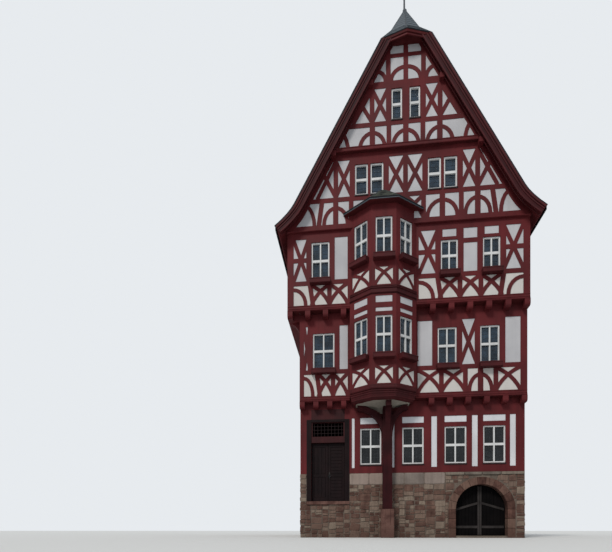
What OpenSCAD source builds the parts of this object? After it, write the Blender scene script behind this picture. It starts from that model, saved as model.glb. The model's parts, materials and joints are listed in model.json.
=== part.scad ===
// Tall half-timbered town house: a masonry plinth with a cellar arch, timbered storeys
// that jetty over each other, a two-storey oriel on a branching post, and a steep gable
// under a slated roof with a small hip. Millimetres. +Z is up, the front faces -Y, and
// the origin is in the base, under the gable's axis and halfway back.

/* [Plan] */
// Width of the front over the upper storeys
front_w = 8940; // [8840:20:9100]
// How far the second storey stands out to the left
side_jetty = 440; // [380:20:480]
// Depth from the ground floor's front to the back wall
house_d = 11000; // [10400:100:12000]
// How far the first storey stands out over the ground floor
jetty_first = 250; // [200:10:300]
// How far the second storey stands out over the first
jetty_second = 280; // [200:10:320]
// How far the gable stands out over the second storey
jetty_gable = 70; // [50:10:100]
// How far the upper gable stands out over the lower gable
jetty_loft = 100; // [60:10:120]

/* [Heights] */
// Height of the masonry plinth
plinth_h = 2520; // [2450:10:2600]
// Height of the ground floor's timber wall
ground_h = 2540; // [2500:20:2660]
// Height of the first storey's timber wall
first_h = 3170; // [3130:20:3330]
// Height of the second storey's timber wall
second_h = 2990; // [2940:20:3100]
// Height of the lower gable storey
gable_h = 2840; // [2800:20:2900]
// Height of the floor joists
joist_h = 250; // [220:10:280]
// Width of a joist
joist_w = 200; // [160:10:220]
// Height of the brackets under the side jetty
jetty_bracket_h = 620; // [540:20:700]
// Number of those brackets
jetty_brackets = 5; // [3:1:7]
// Distance between joists, at the most
joist_pitch = 700; // [600:10:780]

/* [Walls] */
// Thickness of a timbered wall
wall_t = 240; // [220:10:280]
// Depth of the frame's timbers in the wall
timber_t = 180; // [150:10:190]
// How far the plaster lies behind the timber's face
plaster_set = 15; // [5:5:25]
// Thickness of the masonry walls
stone_t = 500; // [460:10:520]
// Width of a rafter in the gables' walls
rafter_w = 200; // [160:10:220]
// Height of a sill beam
sill_h = 210; // [180:10:240]
// Height of the rail under the windows
rail_h = 170; // [140:10:200]
// Height of the beam at the top of a wall
plate_h = 240; // [200:10:260]
// Width of a brace
brace_w = 140; // [110:10:160]
// Width of a post
post_w = 170; // [150:10:200]
// Width of a corner post
corner_w = 240; // [220:10:260]
// Height of the braced fields under the first storey's windows
first_field = 850; // [800:10:880]
// Width of the arched bay under the first storey's windows
first_arch_bay_w = 1100; // [1060:10:1140]
// Width of the plain bay between the second storey's windows
second_panel_bay_w = 660; // [620:10:700]
// Height of the braced fields under the second storey's windows
second_field = 760; // [720:10:800]
// Height of the arched fields in the gable
gable_field = 840; // [800:10:860]

/* [Gable] */
// Width of the lower gable's middle bay, over its windows' sills
gable_mid_w = 1320; // [1240:20:1400]
// Width of the arched bays beside it
gable_arch_w = 1360; // [1300:20:1420]
// Width of the outer arched bays
gable_side_w = 1170; // [1120:10:1220]
// Width of the outermost quarter arches
gable_quarter_w = 700; // [640:20:760]
// Width of the crossed bays beside the middle post
gable_panel_w = 700; // [660:10:720]
// Middle of the outer posts, from the gable's axis
gable_post_x = 2600; // [2560:10:2660]
// Width of the crossed bays outside the outer posts
gable_cross_w = 700; // [640:20:800]
// Width of the upper gable's middle arched bay
loft_mid_w = 1240; // [1200:20:1300]
// Width of the arched bays beside it
loft_side_w = 1220; // [1180:10:1260]
// Middle of the upper gable's outer posts, from the axis
loft_post_x = 1240; // [1200:10:1280]
// Rise of the upper gable's quarter arches
loft_arch_h = 480; // [440:10:520]
// Distance between the upper gable's two lights
loft_gap = 270; // [240:10:300]
// How far the topmost rail lies under the small hip
peak_rail_drop = 550; // [500:10:600]

/* [Windows] */
// Width of a ground floor window
ground_win_w = 815; // [760:5:840]
// Width of the window left of the oriel in the first storey
first_left_win_w = 840; // [780:10:860]
// Width of the first storey's other windows
first_win_w = 700; // [640:10:740]
// Width of the window left of the oriel in the second storey
second_left_win_w = 690; // [640:10:740]
// Width of the second storey's other windows
second_win_w = 620; // [560:10:660]
// Width of a window in the sides and the rear
side_win_w = 740; // [680:10:780]
// Height of a ground floor window
ground_win_h = 1410; // [1340:10:1440]
// Height of the timber over the ground floor's windows
ground_lintel_h = 170; // [140:10:190]
// Height of the small plaster fields over it
ground_panel_h = 240; // [200:10:260]
// Height of a first storey window
first_win_h = 1370; // [1300:10:1400]
// Height of a second storey window
second_win_h = 1170; // [1120:10:1200]
// Height of the window left of the oriel in the second storey
second_left_win_h = 1420; // [1360:10:1440]
// Width of one light in the lower gable
gable_win_w = 480; // [440:10:490]
// Height of the lower gable's windows
gable_win_h = 1150; // [1050:10:1160]
// Width of one light in the upper gable
loft_win_w = 390; // [350:10:400]
// Height of the upper gable's windows
loft_win_h = 1150; // [1050:10:1160]
// Face width of a window's wooden frame
sash_w = 50; // [40:5:60]
// Height of the thick transom in a window
transom_w = 90; // [80:5:100]
// Depth of a window's wooden frame
sash_t = 60; // [50:5:80]
// How far a window lies behind the timbers' face
sash_set = 40; // [20:5:60]
// Thickness of a pane
glass_t = 6; // [4:1:10]

/* [Doors] */
// Width of the entrance between its posts
door_w = 1320; // [1260:10:1360]
// Width of the masonry pier left of the entrance
door_pier_w = 375; // [340:5:420]
// Height of the entrance leaves
door_h = 2320; // [2200:10:2360]
// Thickness of the entrance leaves
door_t = 60; // [50:5:70]
// Gap around a door leaf
door_gap = 6; // [5:1:10]
// How far the entrance threshold lies under the plinth's top
threshold_drop = 1090; // [1040:10:1140]
// Height of the grille over the entrance
grille_h = 550; // [500:10:570]
// Radius of the cellar arch
arch_r = 950; // [900:10:960]
// Middle of the cellar arch, from the right corner
arch_side = 1560; // [1540:5:1600]
// Height of the masonry over the arch stones
arch_cover = 200; // [170:10:290]
// Width of the arch stones
arch_ring_w = 280; // [240:10:300]
// Number of stones in the arch, not counting its legs
arch_stones = 11; // [9:2:15]
// Thickness of the wall round the arch
arch_t = 320; // [280:10:340]
// Thickness of the cellar leaves
cellar_leaf_t = 70; // [60:5:90]

/* [Oriel] */
// Middle of the oriel, from the gable's axis
oriel_x = -830; // [-860:10:-800]
// Width of the oriel at the wall
oriel_w = 2480; // [2440:20:2540]
// Width of the oriel's front
oriel_front_w = 880; // [840:10:940]
// How far the oriel stands out from the second storey
oriel_d = 600; // [540:10:640]
// Thickness of the oriel's timbers
oriel_t = 140; // [120:10:160]
// Width of the oriel's posts along each face
oriel_post_w = 120; // [100:10:150]
// Height of the oriel's floor over the first storey's floor
oriel_raise = 310; // [280:10:340]
// Height of the moulded base under the oriel
corbel_h = 520; // [460:10:560]
// How far the base's roll stands out
corbel_lip = 45; // [30:5:60]
// How far the base turns in at its foot
corbel_in = 200; // [160:10:240]
// Height of the band between the oriel's storeys
oriel_band_h = 330; // [280:10:360]
// Height of the oriel's wall over the attic floor's underside
oriel_top_rise = 480; // [440:10:520]
// Height of the braced fields in the oriel
oriel_field = 640; // [600:10:680]
// Width of the window in the oriel's front
oriel_win_w = 600; // [560:10:620]
// Width of a window in the oriel's side
oriel_side_win_w = 600; // [560:10:640]
// From the top of the oriel's lower windows to the band
oriel_low_head = 760; // [740:10:780]
// From the top of the oriel's upper windows to its roof
oriel_high_head = 480; // [460:10:500]
// Height of the oriel's windows
oriel_win_h = 1370; // [1320:10:1400]
// Height of the small field over the oriel's lower windows
oriel_panel_h = 140; // [120:10:160]
// Height of the small field under the band
oriel_top_panel_h = 240; // [200:10:260]
// How far the oriel's roof oversails
oriel_eave = 240; // [180:10:280]
// Height of the oriel's roof
oriel_roof_h = 850; // [780:10:900]
// Width of the post that carries the oriel
bearer_w = 350; // [320:10:380]
// Middle of that post, from the gable's axis
bearer_x = -640; // [-660:10:-600]
// Height of the brackets on that post
bracket_h = 1350; // [1300:10:1400]
// Height of the stone pedestal under the post
pedestal_h = 1100; // [1000:20:1200]

/* [Roof] */
// Half width of the roof over its slated eaves
eave_x = 4890; // [4860:10:4960]
// Height of the eave edge over the attic floor's underside
eave_rise = 90; // [60:10:140]
// Height of the ridge over the attic floor's underside
ridge_rise = 8310; // [8250:10:8400]
// Where the flare at the eaves begins, from the gable's axis
flare_x = 4130; // [4080:10:4200]
// Slope of the roof at the eave edge, in degrees
flare_slope = 38; // [34:1:42]
// Slope of the roof over the flare, in degrees
roof_slope = 60.9; // [60.5:0.1:61.3]
// Depth of the rafters and boards
deck_t = 160; // [140:10:180]
// Thickness of the slates and battens
slate_t = 60; // [40:10:80]
// How far the roof oversails the upper gable
verge = 200; // [160:10:240]
// Thickness of the boards on the verges
barge_t = 50; // [40:5:60]
// Width of the boards on the verges
barge_w = 250; // [220:10:280]
// Height of the small hip at the top of the gable
hip_h = 1580; // [1500:20:1640]
// How far the hip runs back at the ridge
hip_back = 550; // [450:10:650]
// Height of the hip's flared foot, as a share of its whole height
hip_flare_h = 0.42; // [0.36:0.02:0.48]
// How far the flared foot runs back, as a share of the whole way
hip_flare_d = 0.7; // [0.64:0.02:0.76]
// How far the hip's middle stands out in a prow
prow = 250; // [180:10:300]
// Thickness of the boards under the hip
hip_board_t = 120; // [100:10:140]
// Height of the finial over the ridge
finial_h = 1100; // [900:50:1300]
// Side of a purlin
purlin_w = 180; // [160:10:200]

/* [Hidden] */

// How far a brace or post runs into the timber it meets
tenon = 12;

// Levels
z_ground = plinth_h;
z_first_joist = z_ground + ground_h;
z_first = z_first_joist + joist_h;
z_second_joist = z_first + first_h;
z_second = z_second_joist + joist_h;
z_attic = z_second + second_h;
z_loft = z_attic + gable_h;
z_ridge = z_attic + ridge_rise;
z_hip = z_ridge - hip_h;

// Faces of the walls
x_right = front_w / 2;
x_upper = -front_w / 2;
x_left = x_upper + side_jetty;
y_ground = -house_d / 2;
y_rear = house_d / 2;
y_first = y_ground - jetty_first;
y_second = y_first - jetty_second;
y_gable = y_second - jetty_gable;
y_loft = y_gable - jetty_loft;
y_verge = y_loft - verge;
y_back_verge = y_rear + verge;

timber = "#5a1f1f";
plaster = "#d8d5cf";
sandstone = "#9c6a55";
rubble = "#8a6f60";
slate_grey = "#2f3a44";
white_wood = "#e6e4dc";
dark_wood = "#3a2320";

// Stands a drawing of a wall in X and Z up, from its face y back through t
module stand(y, t) {
    translate([0, y + t, 0])
        rotate([90, 0, 0])
            linear_extrude(t)
                children();
}

// Stands a drawing of a side wall in Y and Z up, from x through t towards +X
module stand_side(x, t) {
    translate([x, 0, 0])
        rotate([90, 0, 90])
            linear_extrude(t)
                children();
}

module box(x0, x1, y0, y1, z0, z1) {
    translate([x0, y0, z0])
        cube([x1 - x0, y1 - y0, z1 - z0]);
}

module bar(x0, x1, z0, z1) {
    translate([x0, z0])
        square([x1 - x0, z1 - z0]);
}

module hole(xc, z0, w, h) {
    bar(xc - w / 2, xc + w / 2, z0, z0 + h);
}

// Twice the area inside a ring of points, negative if they run clockwise
function ring_area(pts) =
    total([for (i = [0:len(pts) - 1]) let (a = pts[i], b = pts[(i + 1) % len(pts)])
        a[0] * b[1] - b[0] * a[1]]);

// The same ring of points, running counterclockwise
function turned(pts) =
    ring_area(pts) > 0 ? pts : [for (i = [len(pts) - 1:-1:0]) pts[i]];

// A straight timber between two points of a wall's drawing
module strut(a, b, w = brace_w) {
    run = b - a;
    n = [-run[1], run[0]] * w / (2 * norm(run));
    polygon([a - n, b - n, b + n, a + n]);
}

// A curved timber: its middle line leaves the chord by bow at its middle
module bowed(a, b, bow, w = brace_w, steps = 6) {
    run = b - a;
    side = [-run[1], run[0]] / norm(run);
    c = (a + b) / 2 + side * bow * 2;
    mid = [for (i = [0:steps]) let (t = i / steps)
        a * (1 - t) * (1 - t) + c * 2 * t * (1 - t) + b * t * t];
    dir = [for (i = [0:steps]) let (t = i / steps) (c - a) * (1 - t) + (b - c) * t];
    n = [for (d = dir) [-d[1], d[0]] * w / (2 * norm(d))];
    polygon(concat([for (i = [0:steps]) mid[i] - n[i]],
        [for (i = [steps:-1:0]) mid[i] + n[i]]));
}

// A quarter of an oval from its foot up to its crown, tenoned in at both ends
module arch_brace(foot, crown, w = brace_w, steps = 6) {
    rx = crown[0] - foot[0];
    rz = crown[1] - foot[1];
    s = sign(rx);
    outer = [for (i = [0:steps]) let (a = 90 * i / steps)
        [crown[0] - (rx + s * w / 2) * cos(a), foot[1] + (rz + w / 2) * sin(a)]];
    inner = [for (i = [steps:-1:0]) let (a = 90 * i / steps)
        [crown[0] - (rx - s * w / 2) * cos(a), foot[1] + (rz - w / 2) * sin(a)]];
    polygon(turned(concat([outer[0] - [0, tenon]], outer, [outer[steps] + [s * tenon, 0],
        inner[0] + [s * tenon, 0]], inner, [inner[steps] - [0, tenon]])));
}

module cross_braces(x0, x1, z0, z1, w = brace_w) {
    strut([x0, z0], [x1, z1], w);
    strut([x0, z1], [x1, z0], w);
}

// Two curved braces that cross, as under the windows
module curved_cross(x0, x1, z0, z1, w = brace_w) {
    bow = (x1 - x0) * 0.13;
    bowed([x0, z0], [x1, z1], bow, w);
    bowed([x1, z0], [x0, z1], -bow, w);
}

// Two arch braces that meet on a post
module arch_pair(x0, x1, z0, z1, w = brace_w) {
    xc = (x0 + x1) / 2;
    crown_z = z1 - w * 1.6;
    arch_brace([x0 + w, z0], [xc, crown_z], w);
    arch_brace([x1 - w, z0], [xc, crown_z], w);
    bar(xc - w * 0.7, xc + w * 0.7, z0, z1);
}

function total(v, i = 0) = i < len(v) ? v[i] + total(v, i + 1) : 0;

// Post lines across a wall: bays given as 0 share what the others leave
function post_lines(x0, x1, bays) =
    let (free = len([for (b = bays) if (b == 0) b]),
        share = (x1 - x0 - total(bays)) / max(free, 1),
        widths = [for (b = bays) b == 0 ? share : b])
    [for (i = [0:len(bays)]) x0 + total([for (j = [0:1:i - 1]) widths[j]])];

// How far the post at line i leans out at its foot, beside a quarter arch
function lean(kinds, i) =
    i > 0 && kinds[i - 1] == "quarter_left" ? post_w * 0.35
    : i < len(kinds) && kinds[i] == "quarter_right" ? -post_w * 0.35 : 0;

// One bay of braces in a field between two post lines
module field_bay(kind, x0, x1, z0, z1) {
    if (kind == "curved") curved_cross(x0, x1, z0, z1);
    if (kind == "cross") cross_braces(x0, x1, z0, z1);
    if (kind == "arches") arch_pair(x0, x1, z0, z1);
    if (kind == "quarter_left") arch_brace([x1 - post_w * 1.3, z0], [x0, z1 - brace_w]);
    if (kind == "quarter_right") arch_brace([x0 + post_w * 1.3, z0], [x1, z1 - brace_w]);
    if (kind == "cross_rail") {
        cross_braces(x0, x1, z0, z1);
        bar(x0, x1, (z0 + z1) / 2 - rail_h / 2, (z0 + z1) / 2 + rail_h / 2);
    }
    if (kind == "rail") {
        bar(x0, x1, z0 + (z1 - z0) * 0.66, z0 + (z1 - z0) * 0.66 + rail_h);
    }
    if (kind == "window" || kind == "wood") bar(x0, x1, z0, z1);
}

// The posts and braces of one field of a wall
module field(lines, kinds, z0, z1) {
    for (i = [1:1:len(kinds) - 1]) {
        d = lean(kinds, i);
        strut([lines[i] + d, z0 - tenon], [lines[i] - d, z1 + tenon], post_w);
    }
    intersection() {
        union() {
            for (i = [0:len(kinds) - 1])
                field_bay(kinds[i], lines[i], lines[i + 1], z0, z1);
        }
        bar(lines[0] - tenon, lines[len(kinds)] + tenon, z0 - tenon, z1 + tenon);
    }
}

// The timbers of one stretch of a storey's wall, with no holes yet
module storey(x0, x1, z0, z1, low, low_kinds, low_h, high, high_kinds) {
    z_field = z0 + sill_h;
    z_rail = z_field + low_h;
    bar(x0, x1, z0, z_field);
    bar(x0, x1, z_rail, z_rail + rail_h);
    bar(x0, x1, z1 - plate_h, z1);
    bar(x0, low[0], z0, z1);
    bar(low[len(low_kinds)], x1, z0, z1);
    field(low, low_kinds, z_field, z_rail);
    field(high, high_kinds, z_rail + rail_h, z1 - plate_h);
}

// Places of the windows in a row of bays
function window_places(lines, kinds) =
    [for (i = [0:len(kinds) - 1]) if (kinds[i] == "window") (lines[i] + lines[i + 1]) / 2];

// The windows' frames with two panes over two, as a drawing
module casement(xc, z0, w, h) {
    pane_w = (w - 3 * sash_w) / 2;
    top_h = (h - 2 * sash_w - transom_w) / 2;
    low_h = top_h;
    difference() {
        hole(xc, z0, w, h);
        for (s = [-1, 1]) {
            hole(xc + s * (pane_w + sash_w) / 2, z0 + sash_w, pane_w, low_h);
            hole(xc + s * (pane_w + sash_w) / 2, z0 + sash_w + low_h + transom_w, pane_w, top_h);
        }
    }
}

// A light with one pane over another, as a drawing
module light(xc, z0, w, h) {
    pane_h = (h - 2 * sash_w - transom_w) / 2;
    difference() {
        hole(xc, z0, w, h);
        for (i = [0, 1])
            hole(xc, z0 + sash_w + i * (pane_h + transom_w), w - 2 * sash_w, pane_h);
    }
}

// Masonry and cellar

reveal = 60;
hall_left = x_left + door_pier_w;
door_left = hall_left + reveal;
door_right = door_left + door_w;
door_x = (door_left + door_right) / 2;
threshold_z = plinth_h - threshold_drop;
arch_x = x_right - arch_side;
arch_spring = plinth_h - arch_cover - arch_ring_w - arch_r;
// Masonry left of the arch stones, cut from the plinth as one block
arch_margin = 120;
arch_left = arch_x - arch_r - arch_ring_w - arch_margin;
// How far the arch stones and the cellar slab stand before and behind the wall's face
stone_lip = 20;
cross_gap = 200;
cross_x = door_right + reveal + cross_gap;
cross_t = 300;
slab_t = 80;
joint = 8;
floor_t = 200;
leaf_lap = 30;
leaf_clear = 10;
leaf_y = y_ground + arch_t + leaf_clear;

module cellar_floor() {
    color(rubble) {
        box(hall_left, x_right - stone_t, y_ground + stone_t, y_rear - stone_t, 0, slab_t);
        box(arch_x - arch_r, arch_x + arch_r, y_ground + stone_lip, y_ground + stone_t, 0, slab_t);
    }
}

module plinth_front_base() {
    color(rubble)
        box(x_left, arch_left, y_ground, y_ground + stone_t, 0, threshold_z);
}

module plinth_door_pier() {
    color(rubble)
        box(x_left, hall_left, y_ground, y_ground + stone_t, threshold_z, plinth_h);
}

module plinth_front_middle() {
    color(rubble)
        box(door_right + reveal, arch_left, y_ground, y_ground + stone_t, threshold_z, plinth_h);
}

module arch_outline(r) {
    translate([arch_x, arch_spring])
        circle(r, $fn = 96);
    bar(arch_x - r, arch_x + r, 0, arch_spring);
}

module plinth_arch() {
    color(rubble)
        stand(y_ground, arch_t)
            difference() {
                bar(arch_left, x_right, 0, plinth_h);
                arch_outline(arch_r + arch_ring_w);
            }
}

// The arch stones with their joints, on two legs of three blocks each
module arch_ring() {
    course = arch_spring / 3;
    color(sandstone)
        stand(y_ground - stone_lip, arch_t + stone_lip) {
            for (i = [0:arch_stones - 1])
                intersection() {
                    translate([arch_x, arch_spring])
                        difference() {
                            circle(arch_r + arch_ring_w, $fn = 96);
                            circle(arch_r, $fn = 96);
                        }
                    voussoir(i);
                }
            for (s = [-1, 1], i = [0:2])
                hole(arch_x + s * (arch_r + arch_ring_w / 2), i * course + (i == 0 ? 0 : joint),
                    arch_ring_w, course - (i == 0 ? 0 : joint));
        }
}

// The wedge that one arch stone is cut to
module voussoir(i) {
    step = 180 / arch_stones;
    reach = 2 * (arch_r + arch_ring_w);
    side = [cos(step * i), sin(step * i)];
    next = [cos(step * (i + 1)), sin(step * (i + 1))];
    gap0 = [-side[1], side[0]] * joint / 2;
    gap1 = [next[1], -next[0]] * joint / 2;
    translate([arch_x, arch_spring])
        polygon(turned([gap0 + gap1, side * reach + gap0, next * reach + gap1]));
}

module plinth_sides() {
    color(rubble) {
        box(x_left, hall_left, y_ground + stone_t, y_rear - stone_t, 0, plinth_h);
        box(x_right - stone_t, x_right, y_ground + arch_t, y_rear - stone_t, 0, plinth_h);
    }
}

module plinth_rear() {
    color(rubble)
        box(x_left, x_right, y_rear - stone_t, y_rear, 0, plinth_h);
}

module cellar_cross_wall() {
    color(rubble)
        box(cross_x, cross_x + cross_t, y_ground + stone_t, y_rear - stone_t, slab_t, plinth_h);
}

module hall_floor() {
    color(sandstone)
        box(hall_left, cross_x, y_ground + stone_t, y_rear - stone_t,
            threshold_z - floor_t, threshold_z);
}

module parlour_floor() {
    color(dark_wood)
        box(cross_x + cross_t, x_right - stone_t, y_ground + stone_t, y_rear - stone_t,
            plinth_h - floor_t, plinth_h);
}

// Entrance and doors

grille_z = threshold_z + door_h + plate_h;

module entrance_posts() {
    color(timber) {
        box(x_left, door_left, y_ground, y_ground + timber_t, plinth_h, z_first_joist);
        box(hall_left, door_left, y_ground, y_ground + timber_t, threshold_z, plinth_h);
        box(door_right, door_right + reveal, y_ground, y_ground + timber_t, threshold_z,
            z_first_joist);
    }
}

module entrance_lintel() {
    color(timber)
        stand(y_ground, timber_t)
            difference() {
                bar(door_left, door_right, threshold_z + door_h, z_first_joist);
                hole(door_x, grille_z, door_w - 2 * sash_w, grille_h);
            }
}

module entrance_grille() {
    bars = 9;
    rows = 3;
    w = door_w - 2 * sash_w;
    color(dark_wood)
        stand(y_ground + 60, 30) {
            for (i = [0:bars - 1])
                hole(door_x - w / 2 + (i + 0.5) * w / bars, grille_z, 22, grille_h);
            for (i = [1:rows])
                hole(door_x, grille_z + i * grille_h / (rows + 1) - 11, w, 22);
        }
}

leaf_w = (door_w - 3 * door_gap) / 2;
door_y = y_ground + timber_t - door_t;

module entrance_leaf(x0) {
    color(dark_wood)
        box(x0, x0 + leaf_w, door_y, door_y + door_t, threshold_z + door_gap,
            threshold_z + door_h - door_gap);
}

module entrance_leaf_left() {
    entrance_leaf(door_left + door_gap);
}

module entrance_leaf_right() {
    entrance_leaf(door_x + door_gap / 2);
}

module cellar_leaf(side) {
    color(dark_wood)
        stand(leaf_y, cellar_leaf_t)
            intersection() {
                arch_outline(arch_r + leaf_lap);
                bar(side < 0 ? arch_x - 2 * arch_r : arch_x + door_gap / 2,
                    side < 0 ? arch_x - door_gap / 2 : arch_x + 2 * arch_r,
                    slab_t + door_gap, plinth_h);
            }
}

module cellar_leaf_left() {
    cellar_leaf(-1);
}

module cellar_leaf_right() {
    cellar_leaf(1);
}

// Front of the ground floor

// The windows share the wall in these steps: from the entrance's post to the first window's
// middle, then from each to the next and from the last to the corner
ground_steps = [950, 1619, 1594, 1426, 1096];
ground_share = (x_right - door_right - reveal) / total(ground_steps);
ground_windows = [for (i = [0:3])
    door_right + reveal + ground_share * total([for (j = [0:i]) ground_steps[j]])];
strip_w = 210;
ground_sill_z = z_ground + sill_h + 130;
strip_places = concat(
    [for (i = [0:2]) (ground_windows[i] + ground_windows[i + 1]) / 2],
    [(ground_windows[3] + ground_win_w / 2 + x_right) / 2 - corner_w / 3,
     (ground_windows[0] - ground_win_w / 2 + door_right + reveal) / 2]);
transom_z = ground_sill_z + ground_win_h + ground_lintel_h;
panel_top_z = transom_z + ground_panel_h;

module ground_holes() {
    for (x = ground_windows)
        hole(x, ground_sill_z, ground_win_w, ground_win_h);
}

module ground_drawing() {
    difference() {
        bar(door_right + reveal, x_right, z_ground, z_first_joist);
        ground_holes();
        for (i = [0:4])
            hole(strip_places[i], z_ground + sill_h, i == 4 ? strip_w / 2 : strip_w,
                panel_top_z - z_ground - sill_h);
        for (x = ground_windows)
            hole(x, transom_z, ground_win_w, ground_panel_h);
    }
}

module front_frame_ground() {
    color(timber)
        stand(y_ground, timber_t)
            ground_drawing();
}

module front_infill_ground() {
    color(plaster) {
        stand(y_ground + plaster_set, timber_t - plaster_set)
            difference() {
                bar(door_right + reveal, x_right, z_ground, z_first_joist);
                ground_drawing();
                ground_holes();
            }
        stand(y_ground + timber_t, wall_t - timber_t)
            difference() {
                bar(door_right + reveal, x_right - wall_t, z_ground, z_first_joist);
                ground_holes();
            }
    }
}

// Floors that jetty out on their joists

oriel_left = oriel_x - oriel_w / 2;
oriel_right = oriel_x + oriel_w / 2;

// Joist places between two ends, no further apart than the pitch
function joist_places(x0, x1) =
    let (n = ceil((x1 - x0) / joist_pitch))
    [for (i = [0:n]) x0 + (x1 - x0) * i / n];

// One joist end with a rounded nose, standing out by reach
module joist_end(x, y, reach, z) {
    nose = joist_h * 0.4;
    translate([x - joist_w / 2, 0, 0])
        stand_side(0, joist_w)
            polygon(turned(concat(
                [[y, z + joist_h], [y, z]],
                [for (i = [0:4]) let (a = 90 * i / 4)
                    [y - reach + nose - nose * sin(a), z + nose - nose * cos(a)]],
                [[y - reach, z + joist_h]])));
}

// A floor whose joists stand out in front, left and right of the oriel
module jetty_floor(x0, y, reach, z) {
    box(x0, x_right, y, y_rear, z, z + joist_h);
    for (x = joist_places(x0 + joist_w / 2, oriel_left - joist_w * 1.2))
        joist_end(x, y, reach, z);
    for (x = joist_places(oriel_right + joist_w * 3, x_right - joist_w / 2))
        joist_end(x, y, reach, z);
}

module floor_first() {
    color(timber)
        jetty_floor(x_left, y_ground, jetty_first + 30, z_first_joist);
}

module floor_second() {
    color(timber)
        jetty_floor(x_upper, y_first, jetty_second + 30, z_second_joist);
}

module floor_attic() {
    color(timber)
        box(x_upper + wall_t, x_right - wall_t, y_second + wall_t, y_rear - wall_t,
            z_attic - joist_h, z_attic);
}

module floor_loft() {
    half = purlin_places[0][0] - purlin_w / 2;
    color(timber)
        box(-half, half, y_gable + timber_t, y_rear - wall_t, z_loft - joist_h, z_loft);
}

// Front of the first and second storeys

function window_bay(w) = w + 2 * 30 + post_w;

first_left_low = post_lines(x_left + post_w, oriel_left - post_w / 2, [0, 0, 0]);
first_left_low_kinds = ["quarter_left", "curved", "curved"];
first_left_high = post_lines(x_left + post_w, oriel_left - post_w / 2, [0, window_bay(first_left_win_w), 400]);
first_left_high_kinds = ["cross", "window", "panel"];
first_right_low = post_lines(oriel_right + post_w / 2, x_right - corner_w,
    [0, 0, first_arch_bay_w, 0]);
first_right_low_kinds = ["curved", "curved", "arches", "curved"];
first_right_high = post_lines(oriel_right + post_w / 2, x_right - corner_w,
    [0, window_bay(first_win_w), 0, window_bay(first_win_w), 0]);
first_right_high_kinds = ["panel", "window", "cross", "window", "panel"];
first_sill_z = z_first + sill_h + first_field + rail_h + 50;

module first_drawing() {
    storey(x_left, oriel_left, z_first, z_second_joist, first_left_low,
        first_left_low_kinds, first_field, first_left_high, first_left_high_kinds);
    storey(oriel_right, x_right, z_first, z_second_joist, first_right_low,
        first_right_low_kinds, first_field, first_right_high, first_right_high_kinds);
}

first_windows = concat(window_places(first_left_high, first_left_high_kinds),
    window_places(first_right_high, first_right_high_kinds));

function first_w(i) = i == 0 ? first_left_win_w : first_win_w;

module first_holes() {
    for (i = [0:len(first_windows) - 1])
        hole(first_windows[i], first_sill_z, first_w(i), first_win_h);
}

second_left_low = post_lines(x_upper + corner_w, oriel_left - post_w / 2, [0, 0, 0]);
second_left_high = post_lines(x_upper + corner_w, oriel_left - post_w / 2,
    [0, window_bay(second_left_win_w), 0]);
second_left_high_kinds = ["cross_rail", "window", "panel"];
second_right_low = post_lines(oriel_right + post_w / 2, x_right - corner_w, [0, 0, 0, 0, 0]);
second_right_low_kinds = ["quarter_left", "curved", "curved", "curved", "quarter_right"];
second_right_high = post_lines(oriel_right + post_w / 2, x_right - corner_w,
    [0, window_bay(second_win_w), second_panel_bay_w, window_bay(second_win_w), 0]);
second_right_high_kinds = ["cross_rail", "window", "rail", "window", "cross_rail"];
second_sill_z = z_second + sill_h + second_field + rail_h + 50;
second_windows = concat(window_places(second_left_high, second_left_high_kinds),
    window_places(second_right_high, second_right_high_kinds));

module second_drawing() {
    storey(x_upper, oriel_left, z_second, z_attic, second_left_low,
        first_left_low_kinds, second_field, second_left_high, second_left_high_kinds);
    storey(oriel_right, x_right, z_second, z_attic, second_right_low,
        second_right_low_kinds, second_field, second_right_high, second_right_high_kinds);
}

function second_w(i) = i == 0 ? second_left_win_w : second_win_w;
function second_win(i) = i == 0 ? second_left_win_h : second_win_h;

module second_holes() {
    for (i = [0:len(second_windows) - 1])
        hole(second_windows[i], second_sill_z, second_w(i), second_win(i));
}

// The small plaster fields over the right-hand windows
module second_top_fields() {
    z = second_sill_z + second_win_h + 110;
    for (x = window_places(second_right_high, second_right_high_kinds))
        hole(x, z, second_win_w - 120, z_attic - plate_h - z);
}

module front_frame_first() {
    color(timber)
        stand(y_first, timber_t)
            difference() {
                first_drawing();
                first_holes();
            }
}

module front_frame_second() {
    color(timber)
        stand(y_second, timber_t)
            difference() {
                second_drawing();
                second_holes();
                second_top_fields();
            }
}

// The wall's plaster beside the oriel, between the timbers and behind them
module front_plaster(y, x0, z0, z1) {
    stand(y + plaster_set, timber_t - plaster_set)
        difference() {
            union() {
                bar(x0, oriel_left, z0, z1);
                bar(oriel_right, x_right, z0, z1);
            }
            children();
        }
}

module front_lining(y, x0, z0, z1) {
    stand(y + timber_t, wall_t - timber_t)
        difference() {
            union() {
                bar(x0 + wall_t, oriel_left, z0, z1);
                bar(oriel_right, x_right - wall_t, z0, z1);
            }
            children();
        }
}

module front_infill_first() {
    color(plaster) {
        front_plaster(y_first, x_left, z_first, z_second_joist) {
            first_drawing();
            first_holes();
        }
        front_lining(y_first, x_left, z_first, z_second_joist)
            first_holes();
    }
}

module front_infill_second() {
    color(plaster) {
        front_plaster(y_second, x_upper, z_second, z_attic) {
            difference() {
                second_drawing();
                second_top_fields();
            }
            second_holes();
        }
        front_lining(y_second, x_upper, z_second, z_attic)
            second_holes();
    }
}

// Roof lines

flare_z = z_ridge - flare_x * tan(roof_slope);
eave_z = z_attic + eave_rise;
// Where the main slope and the slope of the eave edge meet
flare_c_x = (z_ridge - eave_z - eave_x * tan(flare_slope)) / (tan(roof_slope) - tan(flare_slope));
flare_c = [flare_c_x, z_ridge - flare_c_x * tan(roof_slope)];

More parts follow.
